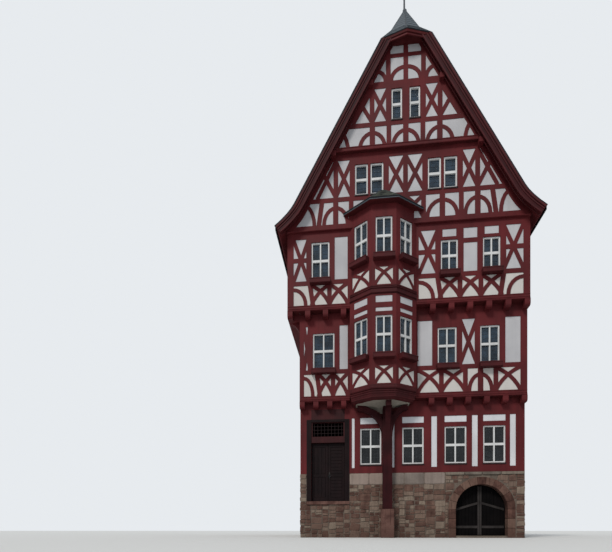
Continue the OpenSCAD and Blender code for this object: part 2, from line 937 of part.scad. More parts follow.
// The roof's outer line on the right, from the eave to the ridge
roof_points = concat(
    [for (i = [0:4]) let (t = i / 4)
        [eave_x, eave_z] * (1 - t) * (1 - t) + flare_c * 2 * t * (1 - t)
        + [flare_x, flare_z] * t * t],
    [[0, z_ridge]]);

function unit(v) = v / norm(v);
function normal(a, b) = let (u = unit(b - a)) [-u[1], u[0]];

// The same line moved in by d, with its ends on the eave and the axis
function roof_line(d) =
    let (n = len(roof_points))
    [for (i = [0:n - 1])
        i == n - 1 ? [0, z_ridge - d / cos(roof_slope)]
        : let (a = normal(roof_points[max(i - 1, 0)], roof_points[max(i, 1)]),
            b = normal(roof_points[i], roof_points[i + 1]))
            roof_points[i] + (a + b) / (1 + a * b) * d];

function mirrored(pts) = [for (i = [len(pts) - 1:-1:0]) [-pts[i][0], pts[i][1]]];

// Half width between the roof's slopes at height z, d under the slates
function roof_half(z, d) = (z_ridge - z) / tan(roof_slope) - d / sin(roof_slope);

// A layer of the roof on the right, between two depths under the slates' face
module roof_layer(d0, d1) {
    outer = roof_line(d0);
    inner = roof_line(d1);
    polygon(turned(concat(outer, [for (i = [len(inner) - 1:-1:0]) inner[i]])));
}

// What lies under the roof at depth d, above the level z0
module under_roof(d, z0) {
    line = roof_line(d);
    intersection() {
        polygon(turned(concat(line, mirrored(line))));
        bar(-eave_x, eave_x, z0, z_ridge);
    }
}

// Gable

// Distance between the two lights of a gable window, and what is left beside them
light_gap = 100;
light_margin = 30;
// Post lines of the braced fields: half the middle bay, then the arched bays
gable_low = [0, gable_mid_w / 2, gable_mid_w / 2 + gable_arch_w,
    gable_mid_w / 2 + gable_arch_w + gable_side_w];
// How far a leaning post stands out at its foot
gable_lean = 60;
// Post lines beside the windows, out to the outer post
gable_pair_w = 2 * (gable_win_w + light_margin) + light_gap + post_w;
gable_high = [0, gable_panel_w, gable_panel_w + gable_pair_w, gable_post_x];
gable_sill_z = z_attic + sill_h + gable_field + rail_h + 40;
gable_light_x = (gable_high[1] + gable_high[2]) / 2;
loft_sill_z = z_loft + gable_field + rail_h + 40;
loft_light_x = (loft_win_w + loft_gap) / 2;
// Foot and top of the beam over the upper gable's windows
z_peak_beam = loft_sill_z + loft_win_h + 40;
z_peak = z_peak_beam + 250;

module gable_lower_half() {
    z_field = z_attic + sill_h;
    z_rail = z_field + gable_field;
    z_top = z_loft - plate_h;
    low = gable_low;
    field(low, ["curved", "arches", "arches"], z_field, z_rail);
    strut([low[3] + gable_lean, z_field - tenon], [low[3] - gable_lean, z_rail + tenon], post_w);
    arch_brace([low[3] + post_w * 1.35, z_field], [low[3] + gable_quarter_w, z_rail]);
    field(gable_high, ["cross", "window", "cross"], z_rail + rail_h, z_top);
    bar(gable_post_x - post_w / 2, gable_post_x + post_w / 2, z_rail, z_top);
    cross_braces(gable_post_x, gable_post_x + gable_cross_w, z_rail + rail_h, z_top);
    bar(-tenon, eave_x, z_attic, z_field);
    bar(-tenon, eave_x, z_rail, z_rail + rail_h);
    bar(-tenon, eave_x, z_top, z_loft);
    bar(-tenon, post_w / 2, z_attic, z_loft);
}

module both_sides() {
    children();
    mirror([1, 0, 0])
        children();
}

// The pair of timbers that follow the roof in a gable's wall, as a drawing
module rafter() {
    roof_layer(slate_t + deck_t, slate_t + deck_t + rafter_w);
}

// The right half of the lower gable's timbers, cut to the roof
module gable_lower_drawing() {
    intersection() {
        union() {
            gable_lower_half();
            rafter();
        }
        under_roof(slate_t + deck_t, z_attic);
        bar(-tenon, x_right, z_attic, z_loft);
    }
}

module gable_lower_holes() {
    for (s = [-1, 1], k = [-1, 1])
        hole(s * gable_light_x + k * (gable_win_w + light_gap) / 2, gable_sill_z, gable_win_w,
            gable_win_h);
    purlin_holes();
}

module gable_upper_half() {
    z_rail = z_loft + gable_field;
    z_top = z_peak_beam;
    post = loft_win_w + loft_gap / 2 + light_margin + post_w / 2;
    low = [-loft_mid_w / 2, loft_mid_w / 2, loft_mid_w / 2 + loft_side_w];
    foot = low[2] + post_w * 1.7;
    rise = loft_arch_h;
    field(low, ["arches", "arches"], z_loft, z_rail);
    arch_brace([foot, z_loft], [foot + rise, z_rail]);
    field([0, post, loft_post_x], ["window", "cross"], z_rail + rail_h, z_top);
    bar(-tenon, loft_gap / 2, z_rail, z_top);
    bar(loft_post_x - post_w / 2, loft_post_x + post_w / 2, z_rail, z_top);
    cross_braces(loft_post_x, loft_post_x + gable_cross_w, z_rail + rail_h, z_top);
    bar(-tenon, eave_x, z_rail, z_rail + rail_h);
    bar(-tenon, eave_x, z_top, z_peak);
    bar(post - post_w / 2, post + post_w / 2, z_peak, z_hip);
    arch_brace([post - post_w * 0.6, z_peak], [0, z_peak + rise]);
    arch_brace([post + post_w * 0.6, z_peak], [post + rise, z_peak + rise - brace_w / 2]);
    bar(-tenon, post_w / 2, z_peak, z_hip);
    bar(-tenon, eave_x, z_hip - peak_rail_drop, z_hip - peak_rail_drop + brace_w);
}

// The right half of the upper gable's timbers, cut to the roof
module gable_upper_drawing() {
    intersection() {
        union() {
            gable_upper_half();
            rafter();
        }
        under_roof(slate_t + deck_t, z_loft);
        bar(-tenon, x_right, z_loft, z_hip - hip_board_t);
    }
}

module gable_upper_holes() {
    for (s = [-1, 1])
        hole(s * loft_light_x, loft_sill_z, loft_win_w, loft_win_h);
    purlin_holes();
}

module gable_frame_lower() {
    color(timber)
        both_sides()
            stand(y_gable, timber_t)
                difference() {
                    gable_lower_drawing();
                    gable_lower_holes();
                }
}

// The right half of a gable's plaster, cut to the roof, between two levels
module gable_outline(z0, z1) {
    intersection() {
        under_roof(slate_t + deck_t, z0);
        bar(-tenon, x_right, z0, z1);
    }
}

module gable_infill_lower() {
    color(plaster)
        both_sides() {
            stand(y_gable + plaster_set, timber_t - plaster_set)
                difference() {
                    gable_outline(z_attic, z_loft);
                    gable_lower_drawing();
                    gable_lower_holes();
                }
            stand(y_gable + timber_t, wall_t - timber_t)
                difference() {
                    gable_outline(z_attic, z_loft - joist_h);
                    gable_lower_holes();
                }
        }
}

module gable_frame_upper() {
    color(timber)
        both_sides()
            stand(y_loft, timber_t)
                difference() {
                    gable_upper_drawing();
                    gable_upper_holes();
                }
}

module gable_infill_upper() {
    color(plaster)
        both_sides() {
            stand(y_loft + plaster_set, timber_t - plaster_set)
                difference() {
                    gable_outline(z_loft, z_hip - hip_board_t);
                    gable_upper_drawing();
                    gable_upper_holes();
                }
            stand(y_loft + timber_t, wall_t - timber_t)
                difference() {
                    gable_outline(z_loft, z_hip - hip_board_t);
                    gable_upper_holes();
                }
        }
}

// Purlins run through the gable walls and carry the verges

// Each purlin lies against the rafters, at the height of a beam's middle
purlin_places = [for (z = [z_loft - plate_h / 2, (z_peak_beam + z_peak) / 2])
    [roof_half(z, slate_t + deck_t) - purlin_w, z - purlin_w / 2]];

module purlin_holes() {
    for (s = [-1, 1], p = purlin_places)
        hole(s * p[0], p[1], purlin_w, purlin_w);
}

module purlins() {
    color(timber)
        stand(y_verge + barge_t, y_back_verge - y_verge - 2 * barge_t)
            purlin_holes();
}

// Side and rear walls

side_bays = 8;
side_kinds = ["cross", "window", "panel", "window", "panel", "window", "panel", "cross"];
side_low_kinds = ["curved", "wood", "curved", "wood", "curved", "wood", "curved", "curved"];

// One storey of a side wall between two faces, as a drawing in Y and Z
module side_storey(y0, z0, z1, low_h) {
    lines = side_lines(y0);
    storey(y0, y_rear - timber_t, z0, z1, lines, side_low_kinds, low_h, lines, side_kinds);
}

function side_lines(y0) =
    post_lines(y0 + post_w / 2, y_rear - timber_t - post_w / 2,
        [for (i = [1:side_bays]) 0]);

function side_sill(z0, low_h) = z0 + sill_h + low_h + rail_h + 50;

module side_holes(y0, z0, low_h, h) {
    for (y = window_places(side_lines(y0), side_kinds))
        hole(y, side_sill(z0, low_h), side_win_w, h);
}

// Each storey of the side walls: front face, foot, top, field height and window height
side_storeys = [
    [y_ground, z_ground, z_first_joist, 320, 1200],
    [y_first, z_first, z_second_joist, first_field, first_win_h],
    [y_second, z_second, z_attic, second_field, second_win_h]];

module side_frames(faces) {
    for (i = [0:2]) {
        s = side_storeys[i];
        stand_side(faces[i], timber_t)
            difference() {
                side_storey(s[0] + timber_t, s[1], s[2], s[3]);
                side_holes(s[0] + timber_t, s[1], s[3], s[4]);
            }
    }
}

module side_infills(faces, linings) {
    for (i = [0:2]) {
        s = side_storeys[i];
        stand_side(faces[i], timber_t - plaster_set)
            difference() {
                bar(s[0] + timber_t, y_rear - timber_t, s[1], s[2]);
                side_storey(s[0] + timber_t, s[1], s[2], s[3]);
                side_holes(s[0] + timber_t, s[1], s[3], s[4]);
            }
        stand_side(linings[i], wall_t - timber_t)
            difference() {
                bar(s[0] + timber_t, y_rear - timber_t, s[1], s[2]);
                side_holes(s[0] + timber_t, s[1], s[3], s[4]);
            }
    }
}

left_faces = [x_left, x_left, x_upper];

// A hollow-fronted bracket under the side jetty, in front of the face y
module jetty_bracket(y) {
    foot = [x_left, z_second_joist - jetty_bracket_h];
    tip = [x_upper + 20, z_second_joist];
    stand(y, joist_w)
        polygon(turned(concat(quarter(foot, tip),
            [[x_left + tenon, tip[1]], [x_left + tenon, foot[1]]])));
}

module left_frame() {
    color(timber) {
        side_frames(left_faces);
        for (i = [0:jetty_brackets - 1])
            jetty_bracket(y_first + timber_t
                + i * (y_rear - 2 * timber_t - joist_w - y_first) / (jetty_brackets - 1));
    }
}

module left_infill() {
    color(plaster)
        side_infills([for (x = left_faces) x + plaster_set], [for (x = left_faces) x + timber_t]);
}

module right_frame() {
    color(timber)
        side_frames([for (i = [0:2]) x_right - timber_t]);
}

module right_infill() {
    color(plaster)
        side_infills([for (i = [0:2]) x_right - timber_t], [for (i = [0:2]) x_right - wall_t]);
}

rear_kinds = ["cross", "window", "panel", "window", "window", "panel", "window", "cross"];
rear_low_kinds = ["curved", "wood", "curved", "wood", "wood", "curved", "wood", "curved"];
rear_faces = [x_left, x_left, x_upper];

function rear_lines(x0) =
    post_lines(x0 + corner_w, x_right - corner_w, [for (i = [1:8]) 0]);

module rear_storey(i) {
    s = side_storeys[i];
    lines = rear_lines(rear_faces[i]);
    storey(rear_faces[i], x_right, s[1], s[2], lines, rear_low_kinds, s[3], lines, rear_kinds);
}

module rear_holes(i) {
    s = side_storeys[i];
    for (x = window_places(rear_lines(rear_faces[i]), rear_kinds))
        hole(x, side_sill(s[1], s[3]), side_win_w, s[4]);
}

// Middle of the rear gable's windows, from the axis
rear_window_x = 750;

// The right half of the rear gable's timbers
module rear_gable_drawing() {
    bay = 2 * rear_window_x;
    intersection() {
        union() {
            rafter();
            for (z = [z_attic, z_loft, z_peak])
                bar(-tenon, eave_x, z, z + sill_h);
            for (x = [0, bay, 2 * bay])
                bar(x - post_w / 2, x + post_w / 2, z_attic, z_ridge);
            for (z = [z_attic, z_loft]) {
                z_field = z + sill_h;
                bar(-tenon, eave_x, z_field + gable_field, z_field + gable_field + rail_h);
                field([0, bay, 2 * bay], ["cross", "cross"], z_field, z_field + gable_field);
            }
        }
        gable_outline(z_attic, z_ridge);
    }
}

module rear_gable_holes() {
    for (s = [-1, 1]) {
        hole(s * rear_window_x, gable_sill_z, side_win_w, gable_win_h);
        hole(s * rear_window_x, loft_sill_z + sill_h, loft_win_w, loft_win_h);
    }
    purlin_holes();
}

module rear_frame() {
    color(timber) {
        for (i = [0:2])
            stand(y_rear - timber_t, timber_t)
                difference() {
                    rear_storey(i);
                    rear_holes(i);
                }
        both_sides()
            stand(y_rear - timber_t, timber_t)
                difference() {
                    rear_gable_drawing();
                    rear_gable_holes();
                }
    }
}

module rear_infill() {
    color(plaster) {
        for (i = [0:2]) {
            s = side_storeys[i];
            stand(y_rear - timber_t, timber_t - plaster_set)
                difference() {
                    bar(rear_faces[i], x_right, s[1], s[2]);
                    rear_storey(i);
                    rear_holes(i);
                }
            stand(y_rear - wall_t, wall_t - timber_t)
                difference() {
                    bar(rear_faces[i] + wall_t, x_right - wall_t, s[1], s[2]);
                    rear_holes(i);
                }
        }
        both_sides() {
            stand(y_rear - timber_t, timber_t - plaster_set)
                difference() {
                    gable_outline(z_attic, z_ridge);
                    rear_gable_drawing();
                    rear_gable_holes();
                }
            stand(y_rear - wall_t, wall_t - timber_t)
                difference() {
                    gable_outline(z_attic, z_ridge);
                    rear_gable_holes();
                }
        }
    }
}

// Oriel

oriel_half = oriel_w / 2;
oriel_front_half = oriel_front_w / 2;
oriel_a = [-oriel_half, 0];
oriel_b = [-oriel_front_half, -oriel_d];
oriel_u = unit(oriel_b - oriel_a);
oriel_n = [-oriel_u[1], oriel_u[0]];
oriel_side_w = norm(oriel_b - oriel_a) - 2 * oriel_post_w;
z_oriel = z_first + oriel_raise;
z_band = z_second + 160;
z_oriel_top = z_attic + oriel_top_rise;
oriel_stages = [[z_oriel, z_band, 0], [z_band + oriel_band_h, z_oriel_top, 1]];

// The oriel's outline seen from above, moved out by d
module oriel_plan(d, back) {
    a = oriel_a - (oriel_n + [1, 0]) / (1 + oriel_n[0]) * d;
    b = oriel_b - (oriel_n + [0, 1]) / (1 + oriel_n[1]) * d;
    polygon(turned([[a[0], back], a, b, [-b[0], b[1]], [-a[0], a[1]], [-a[0], back]]));
}

module at_oriel(z) {
    translate([oriel_x, y_second, z])
        children();
}

module oriel_pedestal() {
    color(sandstone)
        box(bearer_x - bearer_w * 0.7, bearer_x + bearer_w * 0.7, y_ground - bearer_w * 1.2,
            y_ground, 0, pedestal_h);
}

// The post with its curved brackets to the front and both sides, with room around them
module bearer_timbers(room) {
    brace = 200;
    z1 = z_oriel - corbel_h;
    z0 = z1 - bracket_h;
    y0 = y_ground - bearer_w;
    half = bearer_w / 2 + room;
    box(bearer_x - half, bearer_x + half, y0 - room, y_ground + room, pedestal_h, z1 + room);
    for (s = [-1, 1])
        stand(y0 + 60 - room, bearer_w - 120 + 2 * room)
            arch_brace([bearer_x + s * (bearer_w - brace) / 2, z0],
                [oriel_x + s * (oriel_half - corbel_in - brace / 2), z1 - brace / 2],
                brace + 2 * room);
    stand_side(bearer_x - brace / 2 - room, brace + 2 * room)
        arch_brace([y0 + brace / 2, z0],
            [y_second - oriel_d + corbel_in + brace / 4, z1 - brace / 2], brace + 2 * room);
}

module oriel_bearer() {
    color(timber)
        bearer_timbers(0);
}

// A moulding run round the oriel and mitred at its corners. Its outline holds depths behind
// the face and heights. What stands out past the oriel's width ends at the wall's face.
module oriel_moulding(outline, y_wall, y_back) {
    z0 = min([for (p = outline) p[1]]);
    z1 = max([for (p = outline) p[1]]);
    difference() {
        intersection() {
            intersection_for (i = [0:4])
                on_oriel_face(i)
                    stand_side(-oriel_w, 2 * oriel_w)
                        polygon(turned(outline));
            box(oriel_left - oriel_eave, oriel_right + oriel_eave, y_second - oriel_w, y_back,
                z0, z1);
        }
        for (s = [-1, 1])
            translate([oriel_x + s * (oriel_half + oriel_eave), y_wall, z0 - joint])
                translate([-oriel_eave, 0, 0])
                    cube([2 * oriel_eave, y_back - y_wall + joint, z1 - z0 + 2 * joint]);
    }
}

// Points of a quarter round or hollow between two depths and heights, upright at the start
function quarter(from, to) =
    [for (i = [0:6]) let (a = 15 * i)
        [to[0] + (from[0] - to[0]) * cos(a), from[1] + (to[1] - from[1]) * sin(a)]];

// The moulded base: a roll under a fillet, then a round that turns in to the cove
module oriel_corbel() {
    deep = oriel_w;
    roll = corbel_h * 0.13;
    z_roll = z_oriel - 40 - roll;
    z_round = z_roll - roll - 40;
    color(timber)
        oriel_moulding(concat([[deep, z_oriel], [0, z_oriel], [0, z_roll + roll]],
            [for (i = [0:8]) let (a = 22.5 * i) [-corbel_lip * sin(a), z_roll + roll * cos(a)]],
            [[0, z_roll - roll], [30, z_roll - roll]],
            quarter([30, z_round], [corbel_in, z_oriel - corbel_h]),
            [[deep, z_oriel - corbel_h]]), y_first, y_ground);
}

// The plastered hollow under the base, cut round the post and its brackets
module oriel_cove() {
    deep = oriel_w;
    z_top = z_oriel - corbel_h;
    z_low = z_first_joist - plate_h;
    depth = y_ground - (y_second - oriel_d);
    color(plaster)
        difference() {
            oriel_moulding(concat([[deep, z_low]], quarter([depth, z_low], [corbel_in + 30, z_top]),
                [[deep, z_top]]), y_ground, y_ground);
            bearer_timbers(let_in);
        }
}

// The post at a front corner, seen from above
module corner_plan() {
    reach = oriel_post_w;
    inner = oriel_b + (oriel_n + [0, 1]) / (1 + oriel_n[1]) * oriel_t;
    polygon(turned([oriel_b - oriel_u * reach, oriel_b, oriel_b + [reach, 0],
        oriel_b + [reach, oriel_t], inner, oriel_b - oriel_u * reach + oriel_n * oriel_t]));
}

// The post at the wall, seen from above, returning to the line back
module wall_post_plan(back) {
    foot = oriel_a + oriel_u * oriel_post_w;
    inner = oriel_a + (oriel_n + [1, 0]) / (1 + oriel_n[0]) * oriel_t;
    polygon(turned([oriel_a, foot, foot + oriel_n * oriel_t, inner, [inner[0], back],
        [oriel_a[0], back]]));
}

// Cuts away what would stand in the gable over the attic floor
module before_gable() {
    difference() {
        children();
        box(oriel_left - oriel_eave, oriel_right + oriel_eave, y_gable, y_first + wall_t,
            z_attic, z_oriel_top + oriel_roof_h);
    }
}

module oriel_posts() {
    color(timber)
        before_gable()
            for (side = [0, 1], s = oriel_stages) {
                at_oriel(s[0])
                    mirror([side, 0, 0])
                        linear_extrude(s[1] - s[0]) {
                            corner_plan();
                            wall_post_plan(s[2] == 0 ? jetty_second : wall_t);
                        }
                if (s[2] == 0)
                    at_oriel(s[0])
                        mirror([side, 0, 0])
                            linear_extrude(z_second_joist - s[0])
                                wall_post_plan(jetty_second + wall_t);
            }
}

// The moulded band between the storeys, with the floor behind it
module oriel_band() {
    deep = oriel_w;
    lip = 30;
    z1 = z_band + oriel_band_h;
    color(timber) {
        oriel_moulding(concat([[deep, z_band], [0, z_band], [0, z_band + lip]],
            quarter([0, z_band + lip], [-lip, z_band + 2 * lip]),
            [[-lip, z1 - 4 * lip], [-2 * lip, z1 - 4 * lip], [-2 * lip, z1 - 2 * lip],
                [0, z1], [deep, z1]]), y_second, y_first);
        difference() {
            box(oriel_left + oriel_t, oriel_right - oriel_t, y_second, y_first, z_second_joist,
                z_band);
            for (side = [0, 1])
                at_oriel(z_second_joist - joint)
                    mirror([side, 0, 0])
                        linear_extrude(z_band - z_second_joist + 2 * joint)
                            wall_post_plan(jetty_second + joint);
            for (i = [0, 2])
                on_oriel_face(i)
                    stand(0, oriel_t + let_in)
                        bar(-oriel_side_w / 2 - tenon, oriel_side_w / 2 + tenon,
                            z_second_joist - joint, z_band + joint);
        }
    }
}

// A face of the oriel: 0 the left side, 1 the front, 2 the right side, 3 and 4 the returns
// that run straight back to the wall
module on_oriel_face(i) {
    if (i == 1)
        translate([oriel_x, y_second - oriel_d, 0])
            children();
    else if (i > 2)
        translate([oriel_x, y_second, 0])
            mirror([i == 4 ? 1 : 0, 0, 0])
                translate([-oriel_half, 0, 0])
                    rotate([0, 0, -90])
                        children();
    else
        translate([oriel_x, y_second, 0])
            mirror([i == 2 ? 1 : 0, 0, 0])
                translate([(oriel_a[0] + oriel_b[0]) / 2, (oriel_a[1] + oriel_b[1]) / 2, 0])
                    rotate([0, 0, atan2(oriel_u[1], oriel_u[0])])
                        children();
}

// The boards of a face are let in with a hair's breadth of room
let_in = 0.3;

function face_w(i) = (i == 1 ? oriel_front_w - 2 * oriel_post_w : oriel_side_w) - 2 * let_in;
function face_win_w(i) = i == 1 ? oriel_win_w : oriel_side_win_w;
function oriel_sill(s) = s[1] - (s[2] == 0 ? oriel_low_head : oriel_high_head) - oriel_win_h;

module oriel_face_drawing(w, s) {
    z_field = s[0] + 30;
    difference() {
        bar(-w / 2, w / 2, s[0] + let_in, s[1] - let_in);
        bar(-w, w, z_field, z_field + oriel_field);
    }
    intersection() {
        curved_cross(-w / 2 - tenon, w / 2 + tenon, z_field - tenon,
            z_field + oriel_field + tenon, brace_w * 0.8);
        bar(-w / 2, w / 2, z_field - tenon, z_field + oriel_field + tenon);
    }
}

// The two small plaster fields between the lower windows and the band
module oriel_panels(i, s) {
    if (s[2] == 0) {
        hole(0, oriel_sill(s) + oriel_win_h + brace_w, face_win_w(i), oriel_panel_h);
        hole(0, s[1] - 50 - oriel_top_panel_h, face_win_w(i), oriel_top_panel_h);
    }
}

module oriel_face_hole(i, s) {
    hole(0, oriel_sill(s), face_win_w(i), oriel_win_h);
}

module oriel_faces() {
    color(timber)
        before_gable()
            for (i = [0:2], s = oriel_stages)
                on_oriel_face(i)
                    stand(0, oriel_t)
                        difference() {
                            oriel_face_drawing(face_w(i), s);
                            oriel_face_hole(i, s);
                            oriel_panels(i, s);
                        }
}

module oriel_infill() {
    color(plaster)
        for (i = [0:2], s = oriel_stages)
            on_oriel_face(i)
                stand(plaster_set, oriel_t - plaster_set) {
                    difference() {
                        bar(-face_w(i) / 2, face_w(i) / 2, s[0] + 30 + let_in,
                            s[0] + 30 + oriel_field - let_in);
                        oriel_face_drawing(face_w(i), s);
                    }
                    oriel_panels(i, s);
                }
}

// The small slated roof, leaning on the gable
module oriel_roof() {
    color(slate_grey)
        at_oriel(z_oriel_top)
            hull() {
                linear_extrude(slate_t)
                    oriel_plan(oriel_eave, -jetty_gable);
                translate([-60, -jetty_gable - 20, oriel_roof_h - 10])
                    cube([120, 20, 10]);
            }
}

// Windows

module windows_front() {
    color(white_wood) {
        stand(y_ground + sash_set, sash_t)
            for (x = ground_windows)
                casement(x, ground_sill_z, ground_win_w, ground_win_h);
        stand(y_first + sash_set, sash_t)
            for (i = [0:len(first_windows) - 1])
                casement(first_windows[i], first_sill_z, first_w(i), first_win_h);
        stand(y_second + sash_set, sash_t)
            for (i = [0:len(second_windows) - 1])
                casement(second_windows[i], second_sill_z, second_w(i), second_win(i));
        stand(y_gable + sash_set, sash_t)
            for (s = [-1, 1], k = [-1, 1])
                light(s * gable_light_x + k * (gable_win_w + light_gap) / 2, gable_sill_z,
                    gable_win_w, gable_win_h);
        stand(y_loft + sash_set, sash_t)
            for (s = [-1, 1])
                light(s * loft_light_x, loft_sill_z, loft_win_w, loft_win_h);
        for (i = [0:2], s = oriel_stages)
            on_oriel_face(i)
                stand(sash_set, sash_t)
                    casement(0, oriel_sill(s), face_win_w(i), oriel_win_h);
    }
}

module windows_sides() {
    color(white_wood)
        for (i = [0:2]) {
            s = side_storeys[i];
            y0 = s[0] + timber_t;
            for (x = [left_faces[i] + sash_set, x_right - sash_set - sash_t])
                stand_side(x, sash_t)
                    for (y = window_places(side_lines(y0), side_kinds))
                        casement(y, side_sill(s[1], s[3]), side_win_w, s[4]);
        }
}

module windows_rear() {
    color(white_wood)
        stand(y_rear - sash_set - sash_t, sash_t) {
            for (i = [0:2]) {
                s = side_storeys[i];
                for (x = window_places(rear_lines(rear_faces[i]), rear_kinds))
                    casement(x, side_sill(s[1], s[3]), side_win_w, s[4]);
            }
            for (s = [-1, 1]) {
                casement(s * rear_window_x, gable_sill_z, side_win_w, gable_win_h);
                light(s * rear_window_x, loft_sill_z + sill_h, loft_win_w, loft_win_h);
            }
        }
}

// The panes, one sheet behind each window's bars
module window_glass() {
    behind = sash_set + sash_t;
    color("#3c4a55") {
        stand(y_ground + behind, glass_t)
            ground_holes();
        stand(y_first + behind, glass_t)
            first_holes();
        stand(y_second + behind, glass_t)
            second_holes();
        stand(y_gable + behind, glass_t)
            difference() {
                gable_lower_holes();
                purlin_holes();
            }
        stand(y_loft + behind, glass_t)
            difference() {
                gable_upper_holes();
                purlin_holes();
            }
        for (i = [0:2], s = oriel_stages)
            on_oriel_face(i)
                stand(behind, glass_t)
                    oriel_face_hole(i, s);
        for (i = [0:2]) {
            s = side_storeys[i];
            for (x = [left_faces[i] + behind, x_right - behind - glass_t])
                stand_side(x, glass_t)
                    side_holes(s[0] + timber_t, s[1], s[3], s[4]);
            stand(y_rear - behind - glass_t, glass_t)
                rear_holes(i);
        }
        stand(y_rear - behind - glass_t, glass_t)
            difference() {
                rear_gable_holes();
                purlin_holes();
            }
    }
}

// Roof

// Top of the hip's flared foot
z_hip_flare = z_hip + hip_flare_h * hip_h;
y_hip_flare = y_verge + hip_flare_d * hip_back;

// Cuts the front of the roof back to the small hip's two slopes
module behind_hip() {
    difference() {
        children();
        translate([-eave_x, 0, 0])
            stand_side(0, 2 * eave_x)
                polygon(turned([[y_verge - 10, z_hip], [y_verge, z_hip],
                    [y_hip_flare, z_hip_flare], [y_verge + hip_back, z_ridge],
                    [y_verge + hip_back, z_ridge + hip_h], [y_verge - 10, z_ridge + hip_h]]));
    }
}

module roof_run() {
    stand(y_verge, y_back_verge - y_verge)
        children();
}

// The rafters and boards of the right slope, on a plate along the wall's top
module roof_deck_right() {
    color(timber) {
        behind_hip()
            roof_run()
                roof_layer(slate_t, slate_t + deck_t);
        stand(y_gable + wall_t, y_rear - y_gable - 2 * wall_t)
            intersection() {
                under_roof(slate_t + deck_t - 1, z_attic);
                bar(x_right - wall_t, x_right, z_attic, z_loft);
            }
    }
}

module roof_deck_left() {
    mirror([1, 0, 0])
        roof_deck_right();
}

module slates() {
    color(slate_grey)
        both_sides()
            behind_hip()
                roof_run()
                    roof_layer(0, slate_t);
}

module bargeboards() {
    color(timber)
        both_sides()
            for (y = [y_verge - barge_t, y_back_verge])
                stand(y, barge_t)
                    intersection() {
                        roof_layer(slate_t, slate_t + barge_w);
                        bar(joint / 2, eave_x, z_attic - barge_w,
                            y < 0 ? z_hip - hip_board_t : z_ridge);
                    }
}

hip_half = roof_half(z_hip, 0);
flare_half = roof_half(z_hip_flare, 0);

module hip_roof() {
    color(slate_grey)
        polyhedron([[-hip_half, y_verge, z_hip], [0, y_verge - prow, z_hip],
            [hip_half, y_verge, z_hip], [-flare_half, y_hip_flare, z_hip_flare],
            [0, y_hip_flare - prow * flare_half / hip_half, z_hip_flare],
            [flare_half, y_hip_flare, z_hip_flare], [0, y_verge + hip_back, z_ridge]],
            [[0, 1, 2], [0, 3, 4, 1], [1, 4, 5, 2], [3, 6, 4], [4, 6, 5], [0, 2, 5, 3],
                [3, 5, 6]]);
}

module hip_soffit() {
    half = roof_half(z_hip, slate_t + deck_t);
    color(timber)
        translate([0, 0, z_hip - hip_board_t])
            linear_extrude(hip_board_t)
                polygon(turned([[-half, y_loft + wall_t], [-half, y_verge],
                    [-hip_half, y_verge], [0, y_verge - prow], [hip_half, y_verge],
                    [half, y_verge], [half, y_loft + wall_t]]));
}

// A spike on a flared foot that is cut to the ridge it stands on
module finial() {
    rod = 25;
    foot = 150;
    knob = 70;
    color(slate_grey)
        difference() {
            translate([0, y_verge + hip_back + foot + joint, z_ridge - foot])
                rotate_extrude($fn = 32)
                    polygon([[0, 0], [foot, 0], [foot, foot], [90, foot + 160],
                        [rod * 1.6, foot + 300], [rod, foot + 330],
                        [rod, foot + finial_h - 280], [knob, foot + finial_h - 220],
                        [knob, foot + finial_h - 180], [rod, foot + finial_h - 120],
                        [0, foot + finial_h - 20]]);
            roof_run()
                under_roof(0, z_hip);
        }
}

// Boxes of earth under the windows
module window_box(w, z) {
    translate([-w / 2, -220, z])
        cube([w, 220, 200]);
}

module window_boxes() {
    color(timber) {
        for (i = [0:len(first_windows) - 1])
            translate([first_windows[i], y_first, 0])
                window_box(first_w(i) + 100, first_sill_z - 240);
        for (i = [0:len(second_windows) - 1])
            translate([second_windows[i], y_second, 0])
                window_box(second_w(i) + 100, second_sill_z - 240);
        for (s = oriel_stages)
            on_oriel_face(1)
                window_box(oriel_front_w - 100, oriel_sill(s) - 240);
        for (i = [0, 2], s = oriel_stages)
            on_oriel_face(i)
                window_box(oriel_side_w, oriel_sill(s) - 240);
    }
}

cellar_floor();
plinth_front_base();
plinth_door_pier();
plinth_front_middle();
plinth_arch();
arch_ring();
plinth_sides();
plinth_rear();
cellar_cross_wall();
hall_floor();
parlour_floor();
entrance_posts();
entrance_lintel();
entrance_grille();
entrance_leaf_left();
entrance_leaf_right();
cellar_leaf_left();
cellar_leaf_right();
front_frame_ground();
front_infill_ground();
floor_first();
front_frame_first();
front_infill_first();
floor_second();
front_frame_second();
front_infill_second();
floor_attic();
gable_frame_lower();
gable_infill_lower();
floor_loft();
gable_frame_upper();
gable_infill_upper();
left_frame();
left_infill();
right_frame();
right_infill();
rear_frame();
rear_infill();
oriel_pedestal();
oriel_bearer();
oriel_cove();
oriel_corbel();
oriel_posts();
oriel_band();
oriel_faces();
oriel_infill();
oriel_roof();
windows_front();
windows_sides();
windows_rear();
window_glass();
roof_deck_left();
roof_deck_right();
slates();
bargeboards();
hip_roof();
hip_soffit();
purlins();
finial();
window_boxes();
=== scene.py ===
"""Looks of a half-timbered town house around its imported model.

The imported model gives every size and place, in metres: +Z is up and the front faces -Y.
This script adds the finishes, the slates, the stones of the plinth, the leaded panes,
the sills, the doors' boards, the mouldings, the light and the camera.
"""

from __future__ import annotations

import json
import logging
import math
import random
from collections.abc import Iterable, Iterator, Sequence
from contextlib import contextmanager
from dataclasses import dataclass, field, replace
from enum import Enum

import bpy
import numpy as np
from mathutils import Matrix, Vector

